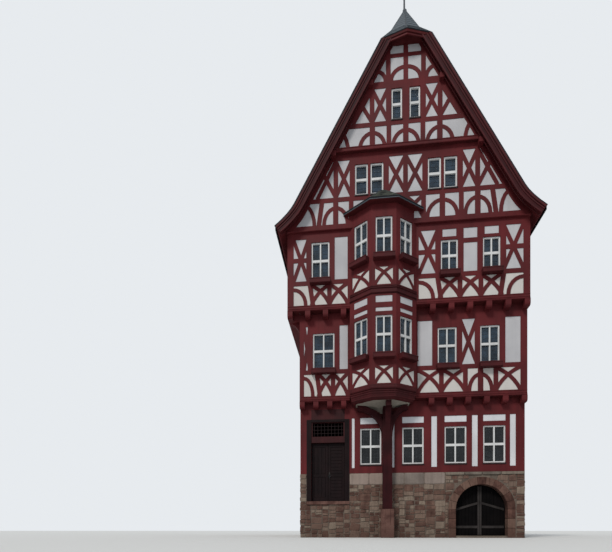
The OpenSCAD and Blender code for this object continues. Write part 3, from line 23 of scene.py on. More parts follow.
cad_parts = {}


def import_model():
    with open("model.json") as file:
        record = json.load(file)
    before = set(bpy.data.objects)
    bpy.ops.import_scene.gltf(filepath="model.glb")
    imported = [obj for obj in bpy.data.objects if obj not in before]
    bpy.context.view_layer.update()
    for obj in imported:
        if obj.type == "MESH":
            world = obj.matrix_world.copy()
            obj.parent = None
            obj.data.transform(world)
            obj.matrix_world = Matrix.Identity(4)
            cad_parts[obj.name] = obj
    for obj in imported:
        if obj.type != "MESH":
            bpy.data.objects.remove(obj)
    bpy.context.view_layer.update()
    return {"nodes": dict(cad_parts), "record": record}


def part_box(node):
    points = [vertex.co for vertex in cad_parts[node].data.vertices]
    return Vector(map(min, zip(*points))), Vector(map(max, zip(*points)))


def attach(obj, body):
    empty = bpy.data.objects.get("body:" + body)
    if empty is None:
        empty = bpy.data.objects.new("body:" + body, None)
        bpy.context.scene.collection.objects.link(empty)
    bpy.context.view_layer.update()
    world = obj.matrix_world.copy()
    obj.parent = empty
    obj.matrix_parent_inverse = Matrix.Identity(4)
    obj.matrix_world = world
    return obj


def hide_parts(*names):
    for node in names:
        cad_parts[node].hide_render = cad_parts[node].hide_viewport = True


LOG = logging.getLogger("house")
# The body that everything but the four leaves rides on
HOUSE = "house"
# The attribute that holds the tone of a single stone or slate
TONE = "tone"
# The digits that are kept when points are compared, and how near counts as touching
WELD = 4
NEAR = 0.001
# How closely a face follows a direction to be chosen
FACING = 0.9
# How far a bar runs on past each of its ends
LAP = 0.004
# How far the boards round the entrance reach past its leaves
# The dark boards are partly painted shade: widened to cover the shadow of the jetty and the oriel
# beside the doorway
SURROUND = 0.185
# A warmer tint of some plaster fields, and its share there
WARM_TINT = (0.53, 0.503, 0.468, 1.0)
WARMTH = 0.7
# Ranges, each as from low, from high, to low and to high: how far a tone leans to the third
# colour, the brightness that a tone gives, and a mask over its whole reach
LEANING = (0.35, 1.0, 0.0, 0.85)
BRIGHTNESS = (0.0, 1.0, 0.72, 1.22)
BLOTCHES = (0.32, 0.68, 0.0, 1.0)
STREAKS = (0.45, 0.75, 0.0, 1.0)
# The damp at the ground, the shade of dirt against the darker colour, and how far the
# roughness strays
DAMP = 0.75
SOIL = 0.45
STRAY = 0.06
UP = Vector((0, 0, 1))

Colour = tuple[float, float, float]
Thing = bpy.types.Object
Socket = bpy.types.NodeSocket


class Relief(Enum):
    """The kind of relief that a finish has."""

    GRAIN = "grain"
    TROWEL = "trowel"
    PITS = "pits"
    LAYERS = "layers"
    SMOOTH = "smooth"


class Kind(Enum):
    """What is selected in edit mode."""

    VERT = "points"
    EDGE = "edges"
    FACE = "faces"


# Modelling tools


def deselect() -> None:
    """Leaves edit mode and selects nothing."""
    if bpy.context.object and bpy.context.object.mode != "OBJECT":
        bpy.ops.object.mode_set(mode="OBJECT")
    bpy.ops.object.select_all(action="DESELECT")


def pick(obj: Thing) -> None:
    """Selects one object alone and makes it active.

    Args:
        obj: The object.
    """
    deselect()
    obj.select_set(True)
    bpy.context.view_layer.objects.active = obj


def settle(obj: Thing) -> Thing:
    """Moves an object's place into its mesh.

    Args:
        obj: The object, whose origin goes to the frame's origin.

    Returns:
        The same object.
    """
    pick(obj)
    bpy.ops.object.transform_apply(location=True, rotation=True, scale=True)
    return obj


def linked(name: str, data: bpy.types.ID) -> Thing:
    """Adds an object for a mesh, a lamp or a camera.

    Args:
        name: The object's name.
        data: What it holds.

    Returns:
        The object.
    """
    obj = bpy.data.objects.new(name, data)
    bpy.context.scene.collection.objects.link(obj)
    return obj


@contextmanager
def editing(obj: Thing, kind: Kind = Kind.FACE, whole: bool = False) -> Iterator[None]:
    """Opens an object in edit mode.

    Args:
        obj: The object to edit.
        kind: What is selected.
        whole: Whether all of it is selected, instead of what its mesh has selected.

    Yields:
        Nothing.
    """
    pick(obj)
    bpy.context.tool_settings.mesh_select_mode = tuple(kind is other for other in Kind)
    bpy.ops.object.mode_set(mode="EDIT")
    if whole:
        bpy.ops.mesh.select_all(action="SELECT")
    yield
    bpy.ops.object.mode_set(mode="OBJECT")


def unselected(obj: Thing) -> bpy.types.Mesh:
    """Clears the selection in an object's mesh.

    Args:
        obj: The object.

    Returns:
        Its mesh.
    """
    mesh = obj.data
    for parts in (mesh.vertices, mesh.edges, mesh.polygons):
        parts.foreach_set("select", [False] * len(parts))
    return mesh


def choose_faces(obj: Thing, towards: Vector) -> None:
    """Selects the faces of a settled object that look in a direction."""
    for face in unselected(obj).polygons:
        face.select = face.normal.dot(towards) > FACING


def modified(obj: Thing, kind: str, **settings: object) -> Thing:
    """Adds a modifier and applies it.

    Args:
        obj: The object to change.
        kind: The modifier's type.
        settings: Its settings by name.

    Returns:
        The same object.
    """
    pick(obj)
    modifier = obj.modifiers.new(kind.lower(), kind)
    for name, value in settings.items():
        setattr(modifier, name, value)
    bpy.ops.object.modifier_apply(modifier=modifier.name)
    return obj


def bevelled(obj: Thing, width: float, segments: int = 1) -> Thing:
    """Rounds an object's edges by a bevel of that width and gives it back."""
    return modified(obj, "BEVEL", width=width, segments=segments, limit_method="ANGLE")


def block(name: str, low: Sequence[float], high: Sequence[float]) -> Thing:
    """Adds a box between two corners.

    Args:
        name: The object's name.
        low: The lowest corner.
        high: The highest corner.

    Returns:
        The settled box.
    """
    a, b = Vector(low), Vector(high)
    deselect()
    bpy.ops.mesh.primitive_cube_add(size=1, location=(a + b) / 2)
    obj = bpy.context.object
    obj.name = name
    obj.scale = b - a
    return settle(obj)


def board(low: Sequence[float], high: Sequence[float], edge: float) -> Thing:
    """Adds a piece of timber between two corners, with bevels of that width."""
    return bevelled(block("board", low, high), edge)


def unit(name: str) -> Thing:
    """Adds a box of one metre each way round the origin."""
    return block(name, (-0.5, -0.5, -0.5), (0.5, 0.5, 0.5))


def rod(name: str, start: Vector, end: Vector, radius: float, sides: int = 10) -> Thing:
    """Adds a round rod between two points.

    Args:
        name: The object's name.
        start: The middle of one end.
        end: The middle of the other end.
        radius: The rod's radius.
        sides: The number of sides.

    Returns:
        The settled rod.
    """
    run = end - start
    deselect()
    bpy.ops.mesh.primitive_cylinder_add(
        vertices=sides, radius=radius, depth=run.length, location=(start + end) / 2
    )
    obj = bpy.context.object
    obj.name = name
    obj.rotation_euler = run.to_track_quat("Z", "Y").to_euler()
    return bevelled(settle(obj), radius * 0.25)


def axes(x: Vector, y: Vector, z: Vector) -> Matrix:
    """A matrix that turns the three axes to three directions."""
    return Matrix((x, y, z)).transposed().to_4x4()


def scaled(*size: float) -> Matrix:
    """A matrix that scales along the three axes."""
    return Matrix.Diagonal((*size, 1))


def beam(start: Vector, end: Vector, up: Vector, width: float, height: float) -> Thing:
    """Adds a straight bar between two points.

    Args:
        start: The middle of one end.
        end: The middle of the other end.
        up: The direction of its height.
        width: Its width across.
        height: Its height.

    Returns:
        The bar, with softened edges.
    """
    along = (end - start).normalized()
    over = (up - along * up.dot(along)).normalized()
    length = (end - start).length
    obj = block("bar", (-LAP, -width / 2, -height / 2), (length + LAP, width / 2, height / 2))
    obj.data.transform(Matrix.Translation(start) @ axes(along, over.cross(along), over))
    return bevelled(obj, min(width, height) * 0.15)


def trimmed(obj: Thing, spot: Vector, out: Vector) -> Thing:
    """Cuts away what lies beyond a plane and closes the cut.

    Args:
        obj: The object.
        spot: A point of the plane.
        out: The direction of what goes.

    Returns:
        The same object.
    """
    with editing(obj, whole=True):
        bpy.ops.mesh.bisect(plane_co=spot, plane_no=out.normalized(), clear_outer=True)
        bpy.ops.mesh.select_all(action="SELECT")
        bpy.ops.mesh.fill_holes(sides=0)
    return obj


def turned(
    name: str, middle: Vector, line: Sequence[tuple[float, float]], steps: int = 24
) -> Thing:
    """Spins a line round an upright axis.

    Args:
        name: The object's name.
        middle: A point of the axis.
        line: The radius and the height of each point, upwards.
        steps: The number of sides.

    Returns:
        The closed, turned object.
    """
    mesh = bpy.data.meshes.new(name)
    points = [(middle.x + radius, middle.y, z) for radius, z in line]
    mesh.from_pydata(points, [(i, i + 1) for i in range(len(points) - 1)], [])
    obj = linked(name, mesh)
    with editing(obj, Kind.VERT, whole=True):
        bpy.ops.mesh.spin(
            steps=steps, angle=math.tau, center=(middle.x, middle.y, 0), axis=(0, 0, 1)
        )
        bpy.ops.mesh.select_all(action="SELECT")
        bpy.ops.mesh.remove_doubles(threshold=1e-4)
        bpy.ops.mesh.fill_holes(sides=0)
        bpy.ops.mesh.normals_make_consistent(inside=False)
    pick(obj)
    bpy.ops.object.shade_smooth_by_angle(angle=math.radians(40))
    return obj


def joined(name: str, pieces: Sequence[Thing]) -> Thing:
    """Joins several objects into one.

    Args:
        name: The joined object's name.
        pieces: The objects.

    Returns:
        The joined object.
    """
    pick(pieces[0])
    for piece in pieces:
        piece.select_set(True)
    if len(pieces) > 1:
        bpy.ops.object.join()
    obj = bpy.context.view_layer.objects.active
    obj.name = name
    return obj


def marked(mesh: bpy.types.Mesh, tones: Sequence[float]) -> None:
    """Stores a tone at each point of a mesh."""
    mesh.attributes.new(TONE, "FLOAT", "POINT").data.foreach_set("value", tones)


def strewn(
    name: str, templates: Sequence[Thing], places: Sequence[Matrix], dice: random.Random
) -> Thing:
    """Joins copies of a few templates into one mesh, and gives each copy a tone of its own.

    Args:
        name: The new object's name.
        templates: The settled objects to copy, which are then removed.
        places: One matrix for each copy.
        dice: The source of the tones and of the choice of template.

    Returns:
        The joined object, whose points hold the tone of their copy.
    """
    shapes = []
    for template in templates:
        co = mesh_points(template)
        polygons = [tuple(p.vertices) for p in template.data.polygons]
        shapes.append((np.c_[co, np.ones(len(co))], polygons))
    points: list[np.ndarray] = []
    faces: list[tuple[int, ...]] = []
    tones: list[np.ndarray] = []
    count = 0
    for place in places:
        co, polygons = shapes[dice.randrange(len(shapes))]
        points.append((co @ np.array(place).T)[:, :3])
        faces.extend(tuple(i + count for i in polygon) for polygon in polygons)
        tones.append(np.full(len(co), dice.random()))
        count += len(co)
    mesh = bpy.data.meshes.new(name)
    mesh.from_pydata(np.concatenate(points).tolist(), [], faces)
    marked(mesh, np.concatenate(tones).astype(np.float32))
    mesh.update()
    for template in templates:
        bpy.data.objects.remove(template)
    return linked(name, mesh)


def copied(node: Thing, name: str) -> Thing:
    """Copies a CAD node as a merged object with large flat faces.

    Args:
        node: The CAD node's object.
        name: The copy's name.

    Returns:
        The copy, free of the node's body.
    """
    obj = linked(name, node.data.copy())
    with editing(obj, Kind.VERT, whole=True):
        bpy.ops.mesh.remove_doubles(threshold=1e-5)
        bpy.ops.mesh.normals_make_consistent(inside=False)
    with editing(obj, whole=True):
        bpy.ops.mesh.dissolve_limited(angle_limit=math.radians(1))
    return obj


def mesh_points(obj: Thing) -> np.ndarray:
    """The points of an object's mesh as rows."""
    return np.array([v.co for v in obj.data.vertices]).reshape(-1, 3)


def distinct(points: np.ndarray, digits: int = WELD) -> np.ndarray:
    """The different points among some rows, in order."""
    return np.unique(np.round(points, digits), axis=0)


@dataclass(frozen=True)
class Panel:
    """An upright box of a CAD node, seen from outside.

    Attributes:
        middle: The middle of its outer face.
        along: The horizontal direction of its width.
        out: The horizontal direction that it faces.
        width: Its width.
        height: Its height.
        depth: Its thickness.
    """

    middle: Vector
    along: Vector
    out: Vector
    width: float
    height: float
    depth: float

    @staticmethod
    def around(points: np.ndarray) -> Panel:
        """The panel that holds the eight corners of a solid.

        Args:
            points: The corners, as rows.

        Returns:
            The panel.
        """
        centre = (points.min(0) + points.max(0)) / 2
        flat = distinct(points[:, :2])
        gaps = [flat[j] - flat[i] for i in range(len(flat)) for j in range(i)]
        side = min(gaps, key=lambda gap: float(np.hypot(*gap)))
        depth = float(np.hypot(*side))
        across = Vector((side[0], side[1], 0)).normalized()
        out = across if across.dot(Vector((centre[0], centre[1], 0))) > 0 else -across
        along = UP.cross(out)
        reach = points @ np.array(along)
        height = float(points[:, 2].max() - points[:, 2].min())
        middle = Vector(centre) + out * depth / 2
        return Panel(middle, along, out, float(reach.max() - reach.min()), height, depth)

    def place(self, u: float = 0.0, w: float = 0.0, z: float = 0.0) -> Matrix:
        """A frame U along, W out and Z up from the face's middle, with Y into the wall."""
        spot = self.middle + self.along * u + self.out * w + UP * z
        return Matrix.Translation(spot) @ axes(self.along, -self.out, UP)


def shells(cells: np.ndarray, count: int) -> np.ndarray:
    """Finds which points hang together.

    Args:
        cells: The points of each edge or triangle, as rows.
        count: The number of points.

    Returns:
        For each point the lowest number in its shell.
    """
    label = np.arange(count)
    while True:
        lowest = label.copy()
        np.minimum.at(lowest, cells.ravel(), np.repeat(label[cells].min(axis=1), cells.shape[1]))
        lowest = lowest[lowest]
        if (lowest == label).all():
            return label
        label = lowest


def solids(node: Thing) -> list[np.ndarray]:
    """Tells the closed solids of a CAD node apart.

    Args:
        node: The CAD node's object.

    Returns:
        The points of each solid, as rows.
    """
    keys, welded = np.unique(np.round(mesh_points(node), WELD), axis=0, return_inverse=True)
    triangles = np.array([tuple(p.vertices) for p in node.data.polygons])
    label = shells(welded.reshape(-1)[triangles], len(keys))
    return [keys[label == k] for k in np.unique(label)]


def toned(obj: Thing, dice: random.Random) -> Thing:
    """Gives each separate shell of an object a tone of its own.

    Args:
        obj: The object.
        dice: The source of the tones.

    Returns:
        The same object.
    """
    mesh = obj.data
    label = shells(np.array([tuple(edge.vertices) for edge in mesh.edges]), len(mesh.vertices))
    tones = {int(k): dice.random() for k in np.unique(label)}
    marked(mesh, [tones[int(k)] for k in label])
    LOG.info("%s: %d shells", obj.name, len(tones))
    return obj


# Finishes


class Tree:
    """A node tree under construction."""

    def __init__(self, tree: bpy.types.NodeTree) -> None:
        """Starts with a tree, whose nodes are removed."""
        self.tree = tree
        tree.nodes.clear()

    def add(
        self, kind: str, inputs: dict[str | int, object] | None = None, **settings: object
    ) -> bpy.types.Node:
        """Adds a node, sets it and links what its inputs come from.

        Args:
            kind: The node's type.
            inputs: Values or sockets by the input's name or number.
            settings: The node's own settings.

        Returns:
            The node.
        """
        node = self.tree.nodes.new(kind)
        for name, value in settings.items():
            setattr(node, name, value)
        for name, value in (inputs or {}).items():
            if isinstance(value, Socket):
                self.tree.links.new(value, node.inputs[name])
            else:
                node.inputs[name].default_value = value
        return node


def place_in(tree: Tree) -> Socket:
    """Adds the object's own coordinates and gives their socket."""
    return tree.add("ShaderNodeTexCoord").outputs["Object"]


def height_in(tree: Tree, place: Socket) -> Socket:
    """Takes the height out of a place and gives its socket."""
    return tree.add("ShaderNodeSeparateXYZ", {"Vector": place}).outputs["Z"]


def noise(tree: Tree, vector: Socket, scale: float, detail: float) -> Socket:
    """Adds a noise texture and gives its value socket."""
    node = tree.add("ShaderNodeTexNoise", {"Vector": vector, "Scale": scale, "Detail": detail})
    return node.outputs["Fac"]


def drawn(tree: Tree, vector: Socket, stretch: Sequence[float], detail: float) -> Socket:
    """Adds noise that is finer along some axes and gives its value socket."""
    node = tree.add("ShaderNodeMapping", {"Vector": vector, "Scale": tuple(stretch)})
    return noise(tree, node.outputs["Vector"], 1.0, detail)


def maths(tree: Tree, operation: str, *values: object) -> Socket:
    """Adds a maths node with its inputs and gives its value socket."""
    return tree.add("ShaderNodeMath", dict(enumerate(values)), operation=operation).outputs[0]


def ranged(tree: Tree, value: Socket, *limits: float) -> Socket:
    """Maps a value from one range to another.

    Args:
        tree: The tree.
        value: The value's socket.
        limits: The low and high limit that it comes from and those that it goes to.

    Returns:
        The mapped value's socket.
    """
    names = ("From Min", "From Max", "To Min", "To Max")
    inputs = {"Value": value, **dict(zip(names, limits))}
    return tree.add("ShaderNodeMapRange", inputs).outputs["Result"]


def mixed(tree: Tree, factor: Socket, first: object, second: object) -> Socket:
    """Adds a mix of two colours and gives its socket."""
    node = tree.add("ShaderNodeMix", {0: factor, 6: first, 7: second}, data_type="RGBA")
    return node.outputs[2]


def brightened(tree: Tree, colour: Socket, value: Socket) -> Socket:
    """Multiplies a colour's brightness and gives its socket."""
    node = tree.add("ShaderNodeHueSaturation", {"Color": colour, "Value": value})
    return node.outputs["Color"]


def bumped(tree: Tree, height: Socket, depth: float) -> Socket:
    """Adds a relief of a depth in metres and gives its normal socket."""
    inputs = {"Height": height, "Strength": 1.0, "Distance": depth}
    return tree.add("ShaderNodeBump", inputs).outputs["Normal"]


def shaded(tree: Tree, inputs: dict[str, object]) -> None:
    """Adds the shader with its inputs, and the material's output."""
    shader = tree.add("ShaderNodeBsdfPrincipled", inputs)
    tree.add("ShaderNodeOutputMaterial", {"Surface": shader.outputs["BSDF"]})


def new_material(name: str) -> tuple[bpy.types.Material, Tree]:
    """Starts a material.

    Args:
        name: The material's name.

    Returns:
        The material and its empty tree.
    """
    material = bpy.data.materials.new(name)
    material.use_nodes = True
    return material, Tree(material.node_tree)


def new_group(name: str, outputs: Iterable[str]) -> tuple[Tree, Socket]:
    """Starts a shader node group that takes a vector and a scale.

    Args:
        name: The group's name.
        outputs: The names of its value outputs.

    Returns:
        The group's tree and the scaled vector.
    """
    group = bpy.data.node_groups.new(name, "ShaderNodeTree")
    group.interface.new_socket("Vector", in_out="INPUT", socket_type="NodeSocketVector")
    group.interface.new_socket("Scale", in_out="INPUT", socket_type="NodeSocketFloat")
    for output in outputs:
        group.interface.new_socket(output, in_out="OUTPUT", socket_type="NodeSocketFloat")
    tree = Tree(group)
    given = tree.add("NodeGroupInput").outputs
    inputs = {0: given["Vector"], "Scale": given["Scale"]}
    return tree, tree.add("ShaderNodeVectorMath", inputs, operation="SCALE").outputs["Vector"]


def weather_group() -> None:
    """Makes the group for blotches of age and rain streaks, as masks from 0 to 1."""
    tree, place = new_group("weather", ("Blotches", "Streaks"))
    blotches = ranged(tree, noise(tree, place, 1.0, 6.0), *BLOTCHES)
    drips = drawn(tree, place, (6.0, 6.0, 0.35), 3.0)
    tree.add("NodeGroupOutput", {0: blotches, 1: ranged(tree, drips, *STREAKS)})


def relief_group(relief: Relief) -> None:
    """Makes the group for the height of one kind of relief.

    Args:
        relief: The kind.
    """
    tree, place = new_group(f"relief_{relief.value}", ("Height",))
    if relief is Relief.GRAIN:
        upright = drawn(tree, place, (40.0, 40.0, 2.0), 5.0)
        level = drawn(tree, place, (2.0, 2.0, 40.0), 5.0)
        height = maths(tree, "MAXIMUM", upright, level)
    elif relief is Relief.TROWEL:
        broad = drawn(tree, place, (2.5, 2.5, 4.0), 2.0)
        fine = maths(tree, "MULTIPLY", noise(tree, place, 55.0, 5.0), 0.35)
        height = maths(tree, "ADD", broad, fine)
    elif relief is Relief.PITS:
        cell = tree.add("ShaderNodeTexVoronoi", {"Vector": place, "Scale": 26.0})
        pit = maths(tree, "MULTIPLY", cell.outputs["Distance"], 0.4)
        height = maths(tree, "ADD", noise(tree, place, 12.0, 8.0), pit)
    elif relief is Relief.LAYERS:
        split = drawn(tree, place, (3.0, 3.0, 9.0), 7.0)
        height = maths(tree, "ADD", split, noise(tree, place, 30.0, 3.0))
    else:
        height = noise(tree, place, 8.0, 2.0)
    tree.add("NodeGroupOutput", {0: height})


@dataclass(frozen=True)
class Finish:
    """A surface: two shades that weather into each other over a relief.

    Attributes:
        name: The material's name.
        slot: The record's material slot, which is not used.
        shades: The darker and the lighter colour.
        roughness: How matt it is.
        relief: The kind of relief.
        depth: The relief's depth in metres.
        scale: Blotches in a metre.
        streaks: How strongly rain has marked it.
        tones: A third colour that single stones or slates lean to, or None.
        metallic: 1 for a metal.
        warm: Height ranges with a warmer shade.
        gloss: The level of its highlights.
        splash: How high damp and dirt climb from the ground.
    """

    name: str
    slot: str
    shades: tuple[Colour, Colour]
    roughness: float
    relief: Relief
    depth: float = 0.002
    scale: float = 1.0
    streaks: float = 0.2
    tones: Colour | None = None
    metallic: float = 0.0
    warm: tuple[tuple[float, float], ...] = ()
    gloss: float = 0.4
    splash: float = 0.0

    def material(self) -> bpy.types.Material:
        """The finish as a material, made on its first use.

        Returns:
            The material.
        """
        found = bpy.data.materials.get(self.name)
        if found:
            return found
        material, tree = new_material(self.name)
        place = place_in(tree)
        blotches, streaks = self._group(tree, "weather", place, self.scale)
        dark, light = self.shades
        colour = mixed(tree, blotches, (*dark, 1), (*light, 1))
        if self.tones:
            tone = tree.add("ShaderNodeAttribute", attribute_name=TONE).outputs["Fac"]
            colour = mixed(tree, ranged(tree, tone, *LEANING), colour, (*self.tones, 1))
            colour = brightened(tree, colour, ranged(tree, tone, *BRIGHTNESS))
        if self.warm:
            colour = mixed(tree, self._warm_mask(tree, place), colour, WARM_TINT)
        dirt = maths(tree, "MULTIPLY", streaks, self.streaks)
        if self.splash:
            damp = ranged(tree, height_in(tree, place), 0.0, self.splash, DAMP, 0.0)
            dirt = maths(tree, "MAXIMUM", dirt, maths(tree, "MULTIPLY", damp, blotches))
        (height,) = self._group(tree, f"relief_{self.relief.value}", place, 1.0)
        rough = (0.0, 1.0, self.roughness - STRAY, self.roughness + STRAY)
        shaded(
            tree,
            {
                "Base Color": mixed(tree, dirt, colour, (*(c * SOIL for c in dark), 1)),
                "Roughness": ranged(tree, blotches, *rough),
                "Normal": bumped(tree, height, self.depth),
                "Metallic": self.metallic,
                "Specular IOR Level": self.gloss,
            },
        )
        return material

    @staticmethod
    def _group(tree: Tree, name: str, place: Socket, scale: float) -> tuple[Socket, ...]:
        """Adds a group node.

        Args:
            tree: The material's tree.
            name: The group's name.
            place: The coordinates that it takes.
            scale: Its scale.

        Returns:
            The sockets of its outputs.
        """
        group = tree.add("ShaderNodeGroup", node_tree=bpy.data.node_groups[name])
        tree.tree.links.new(place, group.inputs["Vector"])
        group.inputs["Scale"].default_value = scale
        return tuple(group.outputs)

    def _warm_mask(self, tree: Tree, place: Socket) -> Socket:
        """Masks the warm height ranges.

        Args:
            tree: The material's tree.
            place: The coordinates.

        Returns:
            The mask's socket.
        """
        height = height_in(tree, place)
        masks = [
            maths(tree, "COMPARE", height, (low + high) / 2, (high - low) / 2)
            for low, high in self.warm
        ]
        whole = masks[0]
        for mask in masks[1:]:
            whole = maths(tree, "MAXIMUM", whole, mask)
        return maths(tree, "MULTIPLY", whole, WARMTH)


PAINTED_TIMBER = Finish(
    "painted_timber", "timber", ((0.066, 0.0078, 0.0096), (0.105, 0.0132, 0.0155)), 0.64,
    Relief.GRAIN, depth=0.004, scale=0.9, streaks=0.35, gloss=0.16,
)
# A darker red: on the oriel's corbel, band and strips and on the bargeboards' mouldings it is
# partly painted shade under the oriel and the verges; on the window boxes it is their own darker
# paint
DARK_AND_SHADED_TIMBER = Finish(
    "dark_timber_and_painted_shade", "timber", ((0.038, 0.0052, 0.0066), (0.066, 0.0090, 0.0108)), 0.62,
    Relief.GRAIN, depth=0.004, scale=1.4, streaks=0.35, gloss=0.16,
)
# Painted shade: the bargeboards are darkened to stand in for the shade that they lie in under the
# verges
SHADED_BARGE_TIMBER = Finish(
    "barge_timber_painted_shade", "timber", ((0.024, 0.0038, 0.0052), (0.046, 0.0066, 0.0086)), 0.62,
    Relief.GRAIN, depth=0.004, scale=1.2, streaks=0.35, gloss=0.14,
)
# Painted shade: the post and brackets under the oriel are nearly black-red, standing in for the
# deep shadow under the oriel
SHADED_BEARER_TIMBER = Finish(
    "bearer_timber_painted_shade", "timber", ((0.020, 0.0040, 0.0052), (0.040, 0.0072, 0.0090)), 0.66,
    Relief.GRAIN, depth=0.005, scale=1.6, streaks=0.4, gloss=0.08,
)
# Painted shade: the entrance's lintel is darkened to stand in for the shadow of the jetty and the
# oriel over the doorway
SHADED_ENTRANCE_TIMBER = Finish(
    "entrance_timber_painted_shade", "timber", ((0.024, 0.0058, 0.0068), (0.048, 0.0098, 0.011)), 0.62,
    Relief.GRAIN, depth=0.004, scale=1.4, streaks=0.35, gloss=0.14,
)
# Painted shade: a darker red for the undersides of the hip, the oriel's roof and the jutting
# storeys, standing in for the shadow under the overhangs
SHADED_SOFFIT_TIMBER = Finish(
    "soffit_timber_painted_shade", "timber", ((0.045, 0.007, 0.008), (0.075, 0.011, 0.012)), 0.75,
    Relief.GRAIN, depth=0.004, scale=1.2, streaks=0.3, gloss=0.1,
)
SILL_TIMBER = Finish(
    "sill_timber", "timber", ((0.012, 0.007, 0.008), (0.026, 0.014, 0.015)), 0.55,
    Relief.GRAIN, depth=0.002, scale=2.0, streaks=0.3, gloss=0.25,
)
WALL_PLASTER = Finish(
    "lime_plaster", "plaster", ((0.385, 0.382, 0.400), (0.460, 0.457, 0.475)), 0.88,
    Relief.TROWEL, depth=0.006, scale=0.8, streaks=0.12, gloss=0.2,
)
FRESH_PLASTER = Finish(
    "fresh_plaster", "plaster", ((0.495, 0.498, 0.525), (0.585, 0.588, 0.615)), 0.88,
    Relief.TROWEL, depth=0.006, scale=0.8, streaks=0.12, gloss=0.2,
)
COVE_PLASTER = Finish(
    "cove_plaster", "plaster", ((0.25, 0.225, 0.19), (0.34, 0.31, 0.265)), 0.9,
    Relief.TROWEL, depth=0.008, scale=1.6, streaks=0.25, gloss=0.2,
)
MORTAR = Finish(
    "mortar", "rubble_masonry", ((0.085, 0.066, 0.054), (0.15, 0.12, 0.098)), 0.95,
    Relief.PITS, depth=0.02, scale=1.6, streaks=0.3, gloss=0.1,
)
RUBBLE_STONE = Finish(
    "rubble_stone", "rubble_masonry", ((0.078, 0.040, 0.032), (0.165, 0.098, 0.076)), 0.92,
    Relief.PITS, depth=0.02, scale=3.6, streaks=0.4, tones=(0.175, 0.142, 0.112), gloss=0.1,
    splash=0.9,
)
PALE_STONE = Finish(
    "pale_sandstone", "sandstone", ((0.165, 0.135, 0.12), (0.26, 0.22, 0.195)), 0.9,
    Relief.PITS, depth=0.008, scale=2.0, streaks=0.3, tones=(0.22, 0.165, 0.14), gloss=0.12,
)
LEDGE_STONE = Finish(
    "ledge_stone", "sandstone", ((0.115, 0.098, 0.082), (0.22, 0.19, 0.16)), 0.95,
    Relief.PITS, depth=0.02, scale=2.6, streaks=0.4, tones=(0.15, 0.125, 0.10), gloss=0.1,
)
RED_STONE = Finish(
    "red_sandstone", "sandstone", ((0.075, 0.037, 0.031), (0.155, 0.085, 0.070)), 0.92,
    Relief.PITS, depth=0.014, scale=3.2, streaks=0.55, gloss=0.08, splash=0.7,
)
ARCH_STONE = Finish(
    "arch_sandstone", "sandstone", ((0.055, 0.027, 0.022), (0.135, 0.070, 0.055)), 0.92,
    Relief.PITS, depth=0.018, scale=4.2, streaks=0.6, tones=(0.125, 0.080, 0.062), gloss=0.08,
    splash=0.9,
)
SLATE = Finish(
    "slate", "slate", ((0.009, 0.013, 0.019), (0.026, 0.033, 0.043)), 0.6,
    Relief.LAYERS, depth=0.004, scale=2.4, streaks=0.15, tones=(0.082, 0.092, 0.104), gloss=0.1,
)
MOSSY_SLATE = Finish(
    "mossy_slate", "slate", ((0.018, 0.023, 0.022), (0.046, 0.054, 0.046)), 0.65,
    Relief.LAYERS, depth=0.006, scale=4.5, streaks=0.15, tones=(0.080, 0.088, 0.070), gloss=0.15,
)
WHITE_PAINT = Finish(
    "white_paint", "white_wood", ((0.49, 0.495, 0.495), (0.61, 0.615, 0.615)), 0.45,
    Relief.GRAIN, depth=0.001, scale=2.0, streaks=0.15, gloss=0.35,
)
DARK_OAK = Finish(
    "dark_oak", "door_wood", ((0.0050, 0.0024, 0.0030), (0.0125, 0.0058, 0.0064)), 0.6,
    Relief.GRAIN, depth=0.004, scale=2.0, streaks=0.3, gloss=0.1,
)
CELLAR_OAK = Finish(
    "cellar_oak", "door_wood", ((0.0016, 0.0014, 0.0016), (0.0048, 0.0038, 0.0040)), 0.75,
    Relief.GRAIN, depth=0.006, scale=2.0, streaks=0.3, gloss=0.05,
)
FLOOR_OAK = Finish(
    "floor_oak", "floor_wood", ((0.14, 0.08, 0.045), (0.24, 0.15, 0.09)), 0.6,
    Relief.GRAIN, depth=0.003, scale=2.0,
)
WEATHERED_OAK = Finish(
    "weathered_oak", "door_wood", ((0.016, 0.0135, 0.013), (0.038, 0.033, 0.032)), 0.75,
    Relief.GRAIN, depth=0.006, scale=2.4, streaks=0.3, gloss=0.1,
)
LEAD = Finish(
    "lead", "roof_metal", ((0.085, 0.095, 0.105), (0.17, 0.18, 0.19)), 0.55,
    Relief.SMOOTH, depth=0.002, scale=3.0, metallic=0.6,
)
LEAD_DARK = Finish(
    "dark_lead", "roof_metal", ((0.030, 0.036, 0.044), (0.062, 0.070, 0.078)), 0.5,
    Relief.SMOOTH, depth=0.002, scale=3.0, metallic=0.4,
)
IRON = Finish(
    "iron", "roof_metal", ((0.018, 0.018, 0.020), (0.05, 0.045, 0.042)), 0.5,
    Relief.PITS, depth=0.001, scale=6.0, metallic=0.8,
)
DARK_TRIM = Finish(
    "dark_trim", "roof_metal", ((0.008, 0.010, 0.013), (0.022, 0.024, 0.029)), 0.6,
    Relief.PITS, depth=0.001, scale=6.0, gloss=0.12,
)
EARTH = Finish(
    "earth", "door_wood", ((0.03, 0.02, 0.012), (0.07, 0.045, 0.03)), 0.98,
    Relief.PITS, depth=0.02, scale=8.0, gloss=0.1,
)


